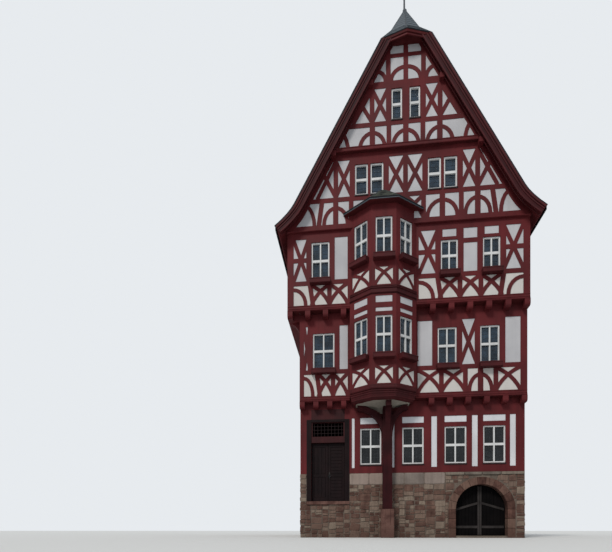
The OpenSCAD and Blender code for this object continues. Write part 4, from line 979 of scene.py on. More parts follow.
@dataclass(frozen=True)
class Glass:
    """Uneven old glass before dark interiors, bluer above the ground floor as a painted reflection
    of the sky.

    Attributes:
        name: The material's name.
        indoor_and_sky_colours: The colour at the ground floor, and above it a bluer one that is a
            painted reflection of the sky.
        rise: The heights between which the first turns into the second.
        patches: The range of the spots' noise and that of their brightness.
        spots: Spots in a metre.
        waves: Waves of the glass in a metre.
        depth: The waves' depth.
        alpha: How much of the room it hides.
        roughness: How matt it is.
    """

    name: str = "window_glass_clear"
    indoor_and_sky_colours: tuple[Colour, Colour] = ((0.007, 0.008, 0.009), (0.016, 0.029, 0.046))
    rise: tuple[float, float] = (4.6, 6.0)
    patches: tuple[float, ...] = (0.35, 0.65, 0.55, 1.7)
    spots: float = 2.3
    waves: float = 9.0
    depth: float = 0.004
    alpha: float = 0.9
    roughness: float = 0.10

    def material(self) -> bpy.types.Material:
        """The glass as a material, made on its first use.

        Returns:
            The material.
        """
        found = bpy.data.materials.get(self.name)
        if found:
            return found
        material, tree = new_material(self.name)
        place = place_in(tree)
        # Above the ground floor the glass turns bluer: a painted reflection of the sky
        upper = ranged(tree, height_in(tree, place), *self.rise, 0.0, 1.0)
        indoor_and_sky = mixed(tree, upper, (*self.indoor_and_sky_colours[0], 1), (*self.indoor_and_sky_colours[1], 1))
        patches = ranged(tree, noise(tree, place, self.spots, 3.0), *self.patches)
        shaded(
            tree,
            {
                "Base Color": brightened(tree, indoor_and_sky, patches),
                "Roughness": self.roughness,
                "IOR": 1.5,
                "Alpha": self.alpha,
                "Specular IOR Level": 0.5,
                "Normal": bumped(tree, noise(tree, place, self.waves, 1.0), self.depth),
            },
        )
        return material


def handed_over(
    obj: Thing, finish: Finish, body: str = HOUSE, replaced: Sequence[str] = ()
) -> None:
    """Gives a finished piece its material and body.

    Args:
        obj: The piece.
        finish: Its finish.
        body: The CAD body that it rides on.
        replaced: The CAD nodes that it stands for.
    """
    settle(obj)
    obj.data.materials.clear()
    obj.data.materials.append(finish.material())
    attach(obj, body)
    if replaced:
        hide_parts(*replaced)
    LOG.info("%s: %d faces on %s", obj.name, len(obj.data.polygons), body)


@dataclass
class Carcass:
    """The CAD nodes that stay in view, each with its finish.

    Attributes:
        nodes: The CAD nodes by name.
        finishes: The finish of each material slot.
        special: The finish of a node where it isn't its slot's.
        warm: Where a wall's warmer plaster fields begin and end, from its foot up.
    """

    nodes: dict[str, Thing]
    finishes: dict[str, Finish | Glass] = field(
        default_factory=lambda: {
            "timber": PAINTED_TIMBER,
            "plaster": WALL_PLASTER,
            "sandstone": RED_STONE,
            "rubble_masonry": MORTAR,
            "slate": SLATE,
            "white_wood": WHITE_PAINT,
            "door_wood": DARK_OAK,
            "floor_wood": FLOOR_OAK,
            "roof_metal": LEAD,
            "glass": Glass(),
        }
    )
    special: dict[str, Finish] = field(
        default_factory=lambda: {
            "front_infill_ground": FRESH_PLASTER,
            "oriel_cove": COVE_PLASTER,
            # Darker reds that are painted shade: the bearer, the bargeboards, the hip's soffit and
            # the entrance's lintel; the corbel and the band take a darker red that is partly
            # painted shade
            "oriel_corbel": DARK_AND_SHADED_TIMBER,
            "oriel_band": DARK_AND_SHADED_TIMBER,
            "oriel_bearer": SHADED_BEARER_TIMBER,
            "bargeboards": SHADED_BARGE_TIMBER,
            "hip_soffit": SHADED_SOFFIT_TIMBER,
            "entrance_lintel": SHADED_ENTRANCE_TIMBER,
            "cellar_leaf_left": CELLAR_OAK,
            "cellar_leaf_right": CELLAR_OAK,
        }
    )
    warm: dict[str, tuple[tuple[float, float], ...]] = field(
        default_factory=lambda: {
            "front_infill_first": ((0.0, 1.06),),
            "front_infill_second": ((0.0, 0.97),),
            "oriel_infill": ((0.0, 0.7), (3.55, 4.3)),
        }
    )

    def warmed(self, node: str) -> Finish:
        """The plaster of a wall with some warmer fields.

        Args:
            node: The plaster's node.

        Returns:
            The finish.
        """
        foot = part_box(node)[0].z
        bands = tuple((foot + low, foot + high) for low, high in self.warm[node])
        return replace(WALL_PLASTER, name=f"{node}_plaster", warm=bands)

    def dress(self, slots: dict[str, str]) -> None:
        """Gives every CAD node its material.

        Args:
            slots: The material slot of each node.
        """
        for name, node in self.nodes.items():
            finish = self.special.get(name, self.finishes[slots[name]])
            if name in self.warm:
                finish = self.warmed(name)
            node.data.materials.clear()
            node.data.materials.append(finish.material())
            LOG.info("%s: %s", name, finish.name)


# Roof


@dataclass(frozen=True)
class Slope:
    """A flat piece of roof over a level eave, seen from outside.

    Attributes:
        left: The eave's left end.
        right: The eave's right end.
        top_right: The upper right corner.
        top_left: The upper left corner.
    """

    left: Vector
    right: Vector
    top_right: Vector
    top_left: Vector

    def run(self) -> Vector:
        """The direction along the eave."""
        return (self.right - self.left).normalized()

    def up(self) -> Vector:
        """The direction up the slope."""
        rise = self.top_left - self.left
        return (rise - self.run() * rise.dot(self.run())).normalized()

    def sides(self) -> list[tuple[Vector, Vector]]:
        """The edges beside and over the slope, each with its outward direction.

        Returns:
            A point and the direction of each edge.
        """
        corners = (self.right, self.top_right, self.top_left, self.left)
        normal = self.run().cross(self.up())
        edges = [(a, b) for a, b in zip(corners, corners[1:]) if (b - a).length > 0.01]
        return [(a, (b - a).cross(normal)) for a, b in edges]


@dataclass
class Roofing:
    """Slates in courses on every slope, with edges, rolls and the ridge's capping.

    Attributes:
        nodes: The CAD nodes by name.
        width: A slate's width.
        length: A slate's length.
        gauge: How much of each slate shows up the slope.
        thick: A slate's thickness.
        corner: The size of its cut corners.
        small: The small slates' size against the main roof's.
        narrowest: The least width that a slate is cut to.
        stray: How far a slate slips up or down.
        filled: How much of its place a slate fills across.
        skin: The least distance of two points of the roof's outer line.
        overhang: How far the first course of a small slope starts before its eave.
        roll: The radius of the hip's lead rolls and that of the oriel's.
        edge: The radius of the rods under the hip's eave and under the oriel's.
        edge_drop: How far those rods lie under the eave.
        eave_board: The width and the height of the board under a main eave.
        batten: The width and the height of a verge's batten.
        sunk: How far the battens lie behind the roof's ends and stand over its face.
        rake_bars: Each moulding of the bargeboards: how far behind their face it lies, how
            far under the roof's face, its width and its height.
        fascia_boards: Each board under the hip's eave: how far behind the eave it hangs, how
            far under it, its width and its height.
        soffit_board: How thick the oriel's soffit is and how far it keeps from the edges.
        cap: The length of a ridge cap, about, and its radius.
        dice: The source of all that varies.
    """

    nodes: dict[str, Thing]
    width: float = 0.25
    length: float = 0.34
    gauge: float = 0.19
    thick: float = 0.006
    corner: float = 0.05
    small: float = 0.62
    narrowest: float = 0.03
    stray: float = 0.006
    filled: float = 0.985
    skin: float = 0.15
    overhang: float = 0.02
    roll: tuple[float, float] = (0.022, 0.02)
    edge: tuple[float, float] = (0.02, 0.024)
    edge_drop: float = 0.012
    eave_board: tuple[float, float] = (0.035, 0.12)
    batten: tuple[float, float] = (0.05, 0.06)
    sunk: float = 0.012
    rake_bars: tuple[tuple[float, ...], ...] = (
        (-0.014, 0.085, 0.035, 0.075),
        (-0.010, 0.185, 0.025, 0.035),
        (-0.014, 0.335, 0.035, 0.055),
        (0.13, 0.345, 0.035, 0.045),
    )
    fascia_boards: tuple[tuple[float, ...], ...] = (
        (0.05, 0.115, 0.035, 0.19),
        (0.03, 0.20, 0.04, 0.035),
    )
    soffit_board: tuple[float, float] = (0.022, 0.02)
    cap: tuple[float, float] = (0.40, 0.075)
    dice: random.Random = field(default_factory=lambda: random.Random(7))

    def slate(self) -> Thing:
        """One slate, lying on its back with its rounded tail at Y = 0.

        Returns:
            The slate.
        """
        half = self.width / 2
        obj = block("slate", (-half, 0, 0), (half, self.length, self.thick))
        mesh = unselected(obj)
        for edge in mesh.edges:
            a, b = (mesh.vertices[i].co for i in edge.vertices)
            edge.select = abs(a.z - b.z) > self.thick / 2 and a.y < self.length / 2
        with editing(obj, Kind.EDGE):
            bpy.ops.mesh.bevel(offset=self.corner, segments=2, affect="EDGES")
        return obj

    def course(
        self, start: Vector, run: Vector, up: Vector, length: float, shift: bool, size: float = 1.0
    ) -> list[Matrix]:
        """The places of one course's slates.

        Args:
            start: Where the course begins, on the roof's face.
            run: The direction along the course.
            up: The direction up the slope.
            length: The course's length.
            shift: Whether it begins with half a slate.
            size: The slates' size against the main roof's.

        Returns:
            One matrix for each slate.
        """
        normal = run.cross(up)
        lift = 2 * self.thick
        tilt = Matrix.Rotation(-math.atan2(lift, self.length * size), 4, "X")
        width = self.width * size
        places = []
        edge = -width / 2 if shift else 0.0
        while edge < length - 0.01:
            left, right = max(edge, 0.0), min(edge + width, length)
            edge += width
            if right - left < self.narrowest:
                continue
            slip = self.dice.uniform(-self.stray, self.stray) * size
            spot = start + run * (left + right) / 2 + up * slip + normal * lift
            shape = scaled((right - left) / self.width * self.filled, size, 1)
            places.append(Matrix.Translation(spot) @ axes(run, up, normal) @ tilt @ shape)
        return places

    def profile(self) -> list[Vector]:
        """The roof's outer line on the right, from the eave to the ridge.

        Returns:
            Points with X and Z.
        """
        points = mesh_points(self.nodes["slates"])
        back = points[points[:, 1] > points[:, 1].max() - NEAR]
        line = distinct(back[back[:, 0] > -NEAR][:, [0, 2]])
        outer = [
            p
            for p in line
            if not any(0 < np.hypot(*(q - p)) < self.skin and q.sum() > p.sum() for q in line)
        ]
        return [Vector((x, 0, z)) for x, z in sorted(outer, key=lambda p: p[1])]

    def hip_rings(self) -> list[list[Vector]]:
        """The small hip's corners by height, each level from left to right.

        Returns:
            The eave's corners, the bend's corners and the top.
        """
        points = distinct(mesh_points(self.nodes["hip_roof"]))
        levels = np.unique(np.round(points[:, 2], 3))
        rows = sorted(points.tolist())
        return [[Vector(p) for p in rows if abs(p[2] - level) < 2 * NEAR] for level in levels]

    def slope(self, side: int) -> Thing:
        """Slates one main slope, up to the small hip and the ridge.

        Args:
            side: 1 for the right slope, -1 for the left.

        Returns:
            The slates.
        """
        low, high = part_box("slates")
        eave, bend, top = (ring[0 if side < 0 else -1] for ring in self.hip_rings())
        line = self.profile()
        run = Vector((0, side, 0))
        stages: tuple[list[Matrix], list[Matrix]] = ([], [])
        total = sum((b - a).length for a, b in zip(line, line[1:]))
        reach, count = 0.0, 0
        while reach < total - self.gauge * 0.5:
            rest = reach
            for a, b in zip(line, line[1:]):
                if rest <= (b - a).length:
                    break
                rest -= (b - a).length
            step = (b - a).normalized()
            spot = a + step * rest
            up = Vector((step.x * side, 0, step.z))
            start = Vector((spot.x * side, low.y if side > 0 else high.y, spot.z))
            places = self.course(start, run, up, high.y - low.y, count % 2 == 1)
            stages[int(spot.z > bend.z)].extend(places)
            reach += self.gauge
            count += 1
        normal = run.cross(up)
        slates = []
        for places, a, b in ((stages[0], eave, bend), (stages[1], bend, top)):
            part = strewn("slates_part", [self.slate()], places, self.dice)
            trimmed(part, a, (b - a).cross(normal) * -side)
            slates.append(trimmed(part, top, Vector((-side, 0, 0))))
        return joined("slates_left_slope" if side < 0 else "slates_right_slope", slates)

    def covered(self, slope: Slope) -> Thing:
        """Covers a small slope with small slates, cut to its edges.

        Args:
            slope: The slope.

        Returns:
            The slates.
        """
        run, up = slope.run(), slope.up()
        corners = (slope.left, slope.right, slope.top_right, slope.top_left)
        along = [(c - slope.left).dot(run) for c in corners]
        height = max((c - slope.left).dot(up) for c in corners)
        width = max(along) - min(along)
        places: list[Matrix] = []
        v, count = -self.overhang, 0
        while v < height - 0.01:
            start = slope.left + run * min(along) + up * v
            places += self.course(start, run, up, width, count % 2 == 1, self.small)
            v += self.gauge * self.small
            count += 1
        slates = strewn("covered", [self.slate()], places, self.dice)
        for spot, out in slope.sides():
            trimmed(slates, spot, out)
        return slates

    def oriel_slopes(self) -> list[Slope]:
        """The slopes of the oriel's roof, from left to right.

        Returns:
            The slopes.
        """
        points = distinct(mesh_points(self.nodes["oriel_roof"]))
        low, high = points[:, 2].min() + 0.01, points[:, 2].max() - 0.01
        front = sorted(points[points[:, 1] < points[:, 1].max() - 0.01].tolist())
        eave = [Vector(p) for p in front if low < p[2] < high]
        tops = [Vector(p) for p in front if p[2] > high]
        return [
            Slope(eave[0], eave[1], tops[0], tops[0]),
            Slope(eave[1], eave[2], tops[-1], tops[0]),
            Slope(eave[2], eave[3], tops[-1], tops[-1]),
        ]

    def lowered(self, side: int, y: float, down: float, top: float) -> list[Vector]:
        """The line of one verge, lowered square to the slope.

        Args:
            side: 1 for the right verge, -1 for the left.
            y: The line's place along the roof.
            down: How far it lies under the roof's face.
            top: Where the line ends.

        Returns:
            The line's points, from the eave up.
        """
        line = [Vector((p.x * side, y, p.z)) for p in self.profile()]
        back = Vector((0, -side, 0))
        outs = [(b - a).cross(back).normalized() for a, b in zip(line, line[1:])]
        points = []
        for point, before, after in zip(line, [outs[0], *outs], [*outs, outs[-1]]):
            mean = (before + after) / 2
            points.append(point - mean * down / mean.length_squared)
        while points[-2].z > top:
            points.pop()
        a, b = points[-2:]
        points[-1] = a + (b - a) * min(1.0, (top - a.z) / (b.z - a.z))
        return points

    def verge(self, y: float, top: float, down: float, width: float, height: float) -> list[Thing]:
        """Bars along both verges at one end of the roof.

        Args:
            y: The bars' place along the roof.
            top: How high they reach.
            down: How far they lie under the roof's face.
            width: Their width along the roof.
            height: Their height square to the slope.

        Returns:
            The bars.
        """
        bars = []
        for side in (-1, 1):
            line = self.lowered(side, y, down, top)
            for a, b in zip(line, line[1:]):
                out = (b - a).cross(Vector((0, -side, 0))).normalized()
                bars.append(beam(a, b, out, width, height))
        return bars

    def rakes(self, top: float) -> None:
        """Lays mouldings along the front bargeboards and boards under the overhang.

        Args:
            top: How high they reach.
        """
        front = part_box("bargeboards")[0].y
        bars: list[Thing] = []
        for behind, down, width, height in self.rake_bars:
            bars += self.verge(front + behind, top, down, width, height)
        # The mouldings' darker red is partly painted shade under the verges
        handed_over(joined("bargeboard_mouldings", bars), DARK_AND_SHADED_TIMBER)

    def fascia(self, eave: Sequence[Vector]) -> None:
        """Hangs boards under the small hip's eave.

        Args:
            eave: The eave's corners from left to right.
        """
        boards = []
        for behind, down, width, height in self.fascia_boards:
            drop = Vector((0, behind, -down))
            for a, b in zip(eave, eave[1:]):
                boards.append(beam(a + drop, b + drop, UP, width, height))
        handed_over(joined("hip_fascia", boards), PAINTED_TIMBER)

    def rolls(
        self, eave: Sequence[Vector], bend: Sequence[Vector], top: Vector, oriel: Sequence[Slope]
    ) -> None:
        """Lays lead rolls on the hips of both small roofs.

        Args:
            eave: The corners of the hip's eave.
            bend: The corners of the hip's bend.
            top: The hip's top.
            oriel: The slopes of the oriel's roof.
        """
        hip, small = self.roll
        rolls = [rod("roll", a, b, hip) for a, b in zip(eave, bend)]
        rolls += [rod("roll", corner, top, hip) for corner in bend]
        rolls += [rod("roll", slope.left, slope.top_left, small) for slope in oriel]
        rolls.append(rod("roll", oriel[-1].right, oriel[-1].top_right, small))
        handed_over(joined("hip_rolls", rolls), LEAD_DARK)

    def edges(self, eave: Sequence[Vector], oriel: Sequence[Slope]) -> None:
        """Closes the edges of the eaves and verges.

        Args:
            eave: The corners of the hip's eave.
            oriel: The slopes of the oriel's roof.
        """
        hip, small = self.edge
        drop = Vector((0, 0, -self.edge_drop))
        edges = [rod("edge", a + drop, b + drop, hip) for a, b in zip(eave, eave[1:])]
        edges += [rod("edge", slope.left + drop, slope.right + drop, small) for slope in oriel]
        low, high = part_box("slates")
        for side in (-1, 1):
            foot = Vector((side * (high.x - 0.022), low.y + 0.015, low.z - 0.03))
            edges.append(beam(foot, Vector((foot.x, high.y - 0.015, foot.z)), UP, *self.eave_board))
        handed_over(joined("eave_edges", edges), DARK_TRIM)
        battens = self.verge(low.y + self.sunk, eave[0].z, -self.sunk, *self.batten)
        battens += self.verge(high.y - self.sunk, high.z, -self.sunk, *self.batten)
        handed_over(joined("verge_battens", battens), DARK_TRIM)

    def oriel_soffit(self) -> None:
        """Boards the underside of the oriel's roof."""
        thick, inset = self.soffit_board
        points = distinct(mesh_points(self.nodes["oriel_roof"]))
        low = points[:, 2].min()
        under = points[points[:, 2] < low + NEAR]
        middle = Vector(under.mean(axis=0))
        ring = [Vector(p) + (middle - Vector(p)).normalized() * inset for p in under]
        ring.sort(key=lambda p: math.atan2(p.y - middle.y, p.x - middle.x))
        first = (under[:, 0].min(), under[:, 1].min(), low - thick)
        soffit = block("oriel_soffit", first, (under[:, 0].max(), under[:, 1].max(), low - NEAR))
        for a, b in zip(ring, ring[1:] + ring[:1]):
            trimmed(soffit, a, (b - a).cross(UP))
        # The soffit's darker red is painted shade under the oriel's roof
        handed_over(bevelled(soffit, 0.004), SHADED_SOFFIT_TIMBER)

    def ridge(self, start: Vector) -> None:
        """Lays the ridge's capping from the small hip to the back.

        Args:
            start: The hip's top.
        """
        length, radius = self.cap
        _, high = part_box("slates")
        count = math.ceil((high.y - start.y) / length)
        step = (high.y - start.y) / count
        cap = rod("cap", Vector((0, 0, 0)), Vector((0, step * 1.06, -0.006)), radius, 14)
        ys = [start.y + i * step - step * 0.03 for i in range(count)]
        places = [Matrix.Translation((0, y, start.z - 0.01)) for y in ys]
        handed_over(strewn("ridge_caps", [cap], places, self.dice), SLATE)

    def finial(self) -> None:
        """Turns the leaded spike on the small hip, with its ball."""
        low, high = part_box("finial")
        height = high.z - low.z
        # Each step up the spike, as its radius and its share of the height
        line = (
            (0.000, 0.150), (0.030, 0.145), (0.090, 0.092), (0.160, 0.056), (0.260, 0.036),
            (0.620, 0.030), (0.635, 0.055), (0.665, 0.085), (0.700, 0.097), (0.735, 0.085),
            (0.765, 0.055), (0.780, 0.028), (0.880, 0.022), (0.970, 0.014), (1.000, 0.001),
        )
        spike = turned("spike", (low + high) / 2, [(r, low.z + t * height) for t, r in line])
        handed_over(spike, LEAD_DARK, replaced=("finial",))

    def make(self) -> None:
        """Builds the slates, the edges and the rolls of all the roofs."""
        for side in (-1, 1):
            handed_over(self.slope(side), SLATE)
        eave, bend, (top,) = self.hip_rings()
        hip = [Slope(eave[i], eave[i + 1], bend[i + 1], bend[i]) for i in (0, 1)]
        hip += [Slope(bend[i], bend[i + 1], top, top) for i in (0, 1)]
        oriel = self.oriel_slopes()
        for name, slopes, finish in (
            ("hip_slates", hip, SLATE), ("oriel_slates", oriel, MOSSY_SLATE),
        ):
            handed_over(joined(name, [self.covered(slope) for slope in slopes]), finish)
        self.rolls(eave, bend, top, oriel)
        self.edges(eave, oriel)
        self.ridge(top)
        self.finial()
        self.oriel_soffit()
        self.rakes(eave[0].z - 0.07)
        self.fascia(eave)


# Masonry


def doorway(reach: float) -> tuple[float, float]:
    """The X of two lines that far outside the entrance's leaves."""
    left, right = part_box("entrance_leaf_left")[0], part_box("entrance_leaf_right")[1]
    return left.x - reach, right.x + reach


@dataclass(frozen=True)
class Face:
    """An upright rectangle of masonry.

    Attributes:
        origin: Its lower left corner, seen from outside.
        run: The direction to its right.
        width: Its width.
        height: Its height.
        arch: The arch cut out of it, as the middle's distance along, the springing's height
            and the radius, or None.
        joint: The joint between two stones.
        bed: The depth of its stones.
    """

    origin: Vector
    run: Vector
    width: float
    height: float
    arch: tuple[float, float, float] | None = None
    joint: float = 0.02
    bed: float = 0.10

    @staticmethod
    def over(node: str, height: float, left: float | None = None) -> Face:
        """The uppermost strip of a CAD node's front.

        Args:
            node: The node.
            height: The strip's height.
            left: Where it begins, if not at the node's left end.

        Returns:
            The strip.
        """
        low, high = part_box(node)
        start = low.x if left is None else left
        origin = Vector((start, low.y, high.z - height))
        return Face(origin, Vector((1, 0, 0)), high.x - start, height)

    def clear(self, left: float, right: float, low: float) -> list[tuple[float, float]]:
        """What is left of a stretch beside the arch.

        Args:
            left: The stretch's left end.
            right: Its right end.
            low: Its foot.

        Returns:
            The stretches that stay clear.
        """
        if not self.arch:
            return [(left, right)]
        middle, spring, radius = self.arch
        above = max(0.0, low - spring)
        if above >= radius:
            return [(left, right)]
        half = math.sqrt(radius**2 - above**2)
        pieces = [(left, min(right, middle - half)), (max(left, middle + half), right)]
        return [(a, b) for a, b in pieces if b - a > 0.07]

    def place(
        self, left: float, right: float, low: float, high: float, proud: float, lean: float = 0.0
    ) -> Matrix:
        """The place of one stone.

        Args:
            left: Its left end along the face.
            right: Its right end.
            low: Its foot.
            high: Its top.
            proud: How far it stands out.
            lean: How far it is turned in the face, in degrees.

        Returns:
            The place as a matrix for a stone of one metre each way.
        """
        out = self.run.cross(UP)
        spot = self.origin + self.run * (left + right) / 2 + out * (proud - self.bed / 2)
        spot += UP * ((low + high) / 2)
        turn = axes(self.run, -out, UP) @ Matrix.Rotation(math.radians(lean), 4, "Y")
        size = (right - left - self.joint, self.bed, high - low - self.joint)
        return Matrix.Translation(spot) @ turn @ scaled(*size)


@dataclass
class Masonry:
    """Rubble on the plinth, dressed blocks, the arch stones and the pedestal.

    Attributes:
        nodes: The CAD nodes by name.
        widest: The greatest width of a rubble stone.
        tallest: The greatest height of a rubble stone.
        narrow: The width under which a stone isn't split across.
        slender: How many times its height a stone may be long.
        low: The height under which a stone isn't split.
        chance: How often a stone of middling height is split.
        shares: Where a stone is split, from and to.
        proud: How far the rubble stands out, from and to.
        lean: How far a stone leans, in degrees.
        stones: How many shapes of rubble there are.
        rough: How far the points of a rubble stone, a dressed block and a ledge stone stray.
        ashlar_height: The height of the band of dressed blocks.
        ashlar: The ranges of a block's height, its width and how far it stands out.
        ledge_height: The height of the ledge over the cellar arch.
        ledge: The same ranges for the ledge's stones.
        surround_gap: The gap between the door's surround and the stones.
        step: How far the door step lies under the leaves, its height, how far it stands out
            and how far it reaches in.
        dice: The source of all that varies.
    """

    nodes: dict[str, Thing]
    widest: float = 0.52
    tallest: float = 0.30
    narrow: float = 0.30
    slender: float = 2.3
    low: float = 0.17
    chance: float = 0.35
    shares: tuple[float, float] = (0.36, 0.64)
    proud: tuple[float, float] = (0.006, 0.03)
    lean: float = 3.5
    stones: int = 9
    rough: tuple[float, float, float] = (0.10, 0.012, 0.03)
    ashlar_height: float = 0.45
    ashlar: tuple[tuple[float, float], ...] = ((0.44, 0.46), (0.55, 0.85), (0.010, 0.018))
    ledge_height: float = 0.12
    ledge: tuple[tuple[float, float], ...] = ((0.11, 0.13), (0.6, 1.0), (0.045, 0.055))
    surround_gap: float = 0.012
    step: tuple[float, ...] = (0.004, 0.126, 0.07, 0.20)
    dice: random.Random = field(default_factory=lambda: random.Random(11))

    def stone(self, roughness: float, segments: int = 2) -> Thing:
        """A stone one metre each way with uneven, rounded faces.

        Args:
            roughness: How far its points stray.
            segments: How finely its edges are rounded.

        Returns:
            The stone.
        """
        obj = unit("stone")
        for vertex in obj.data.vertices:
            vertex.co += Vector([self.dice.uniform(-roughness, roughness) for _ in range(3)])
        return bevelled(obj, 0.11, segments)

    def patches(self, u0: float, z0: float, u1: float, z1: float) -> list[tuple[float, ...]]:
        """Splits a rectangle at random into stones of mixed sizes.

        Args:
            u0: The rectangle's left end.
            z0: Its foot.
            u1: Its right end.
            z1: Its top.

        Returns:
            The stones' left, foot, right and top.
        """
        width, height = u1 - u0, z1 - z0
        share = self.dice.uniform(*self.shares)
        if width > self.widest or (width > self.narrow and width > self.slender * height):
            middle = u0 + width * share
            return self.patches(u0, z0, middle, z1) + self.patches(middle, z0, u1, z1)
        if height > self.tallest or (height > self.low and self.dice.random() < self.chance):
            middle = z0 + height * share
            return self.patches(u0, z0, u1, middle) + self.patches(u0, middle, u1, z1)
        return [(u0, z0, u1, z1)]

    def rubble(self, face: Face) -> list[Matrix]:
        """The places of the rubble stones on a face.

        Args:
            face: The face.

        Returns:
            One matrix for each stone.
        """
        places = []
        for u0, z0, u1, z1 in self.patches(0.0, 0.0, face.width, face.height):
            for a, b in face.clear(u0, u1, z0):
                proud = self.dice.uniform(*self.proud)
                lean = self.dice.uniform(-self.lean, self.lean)
                places.append(face.place(a, b, z0, z1, proud, lean))
        return places

    def courses(
        self, face: Face, heights: tuple[float, float], widths: tuple[float, float],
        proud: tuple[float, float],
    ) -> list[Matrix]:
        """The places of a face's stones, laid in courses.

        Args:
            face: The face.
            heights: The least and the greatest height of a course, before it is fitted.
            widths: The least and the greatest width of a stone.
            proud: The least and the greatest distance that a stone stands out.

        Returns:
            One matrix for each stone.
        """
        count = max(1, round(face.height / (sum(heights) / 2)))
        shares = [self.dice.uniform(*heights) for _ in range(count)]
        places = []
        low = 0.0
        for share in shares:
            high = low + share * face.height / sum(shares)
            edge = 0.0
            while edge < face.width - 0.02:
                width = self.dice.uniform(*widths)
                right = edge + width if face.width - edge - width > widths[0] * 0.6 else face.width
                for a, b in face.clear(edge, right, low):
                    places.append(face.place(a, b, low, high, self.dice.uniform(*proud)))
                edge = right
            low = high
        return places

    def faces(self) -> list[Face]:
        """The faces that carry rubble.

        Returns:
            Four faces in front and three around.
        """
        x, y = Vector((1, 0, 0)), Vector((0, 1, 0))
        base_low, base_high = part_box("plinth_front_base")
        arch_low, arch_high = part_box("plinth_arch")
        ring_low, ring_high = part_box("arch_ring")
        pier_low, pier_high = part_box("plinth_door_pier")
        middle_low, middle_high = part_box("plinth_front_middle")
        rear_low, rear_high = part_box("plinth_rear")
        radius = (ring_high.x - ring_low.x) / 2 + 0.01
        spring = ring_high.z - radius + 0.01
        arch = ((ring_low.x + ring_high.x) / 2 - arch_low.x, spring, radius)
        depth = rear_high.y - base_low.y
        height = rear_high.z
        left, right = doorway(SURROUND + self.surround_gap)
        beside = Vector((right, middle_low.y, middle_low.z))
        under = height - self.ashlar_height - middle_low.z
        return [
            Face(base_low, x, base_high.x - base_low.x, base_high.z),
            Face(pier_low, x, left - pier_low.x, pier_high.z - pier_low.z),
            Face(beside, x, middle_high.x - right, under),
            Face(arch_low, x, arch_high.x - arch_low.x, height - self.ledge_height, arch),
            Face(Vector((rear_high.x, base_low.y, 0)), y, depth, height),
            Face(Vector((rear_high.x, rear_high.y, 0)), -x, rear_high.x - rear_low.x, height),
            Face(Vector((rear_low.x, rear_high.y, 0)), -y, depth, height),
        ]

    def make(self) -> None:
        """Builds all the stonework."""
        faces = self.faces()
        uneven, dressed, weathered = self.rough
        for name, part, segments in (
            ("rubble_stones_front", faces[:4], 2), ("rubble_stones_around", faces[4:], 1),
        ):
            rubble = [place for face in part for place in self.rubble(face)]
            templates = [self.stone(uneven, segments) for _ in range(self.stones)]
            handed_over(strewn(name, templates, rubble, self.dice), RUBBLE_STONE)
        left, right = doorway(SURROUND + self.surround_gap)
        band = Face.over("plinth_front_middle", self.ashlar_height, right)
        places = self.courses(band, *self.ashlar)
        block_shape = [self.stone(dressed)]
        handed_over(strewn("ashlar_blocks", block_shape, places, self.dice), PALE_STONE)
        places = self.courses(Face.over("plinth_arch", self.ledge_height), *self.ledge)
        ledge_shape = [self.stone(weathered)]
        handed_over(strewn("plinth_ledge", ledge_shape, places, self.dice), LEDGE_STONE)
        ring = bevelled(copied(self.nodes["arch_ring"], "arch_stones"), 0.016, 2)
        handed_over(toned(ring, self.dice), ARCH_STONE, replaced=("arch_ring",))
        under, height, out, inside = self.step
        wall, top = band.origin.y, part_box("entrance_leaf_left")[0].z - under
        step = block("door_step", (left, wall - out, top - height), (right, wall + inside, top))
        handed_over(bevelled(step, 0.015, 2), RED_STONE)
        pedestal = bevelled(copied(self.nodes["oriel_pedestal"], "bearer_pedestal"), 0.02, 2)
        handed_over(pedestal, RED_STONE, replaced=("oriel_pedestal",))


# Windows


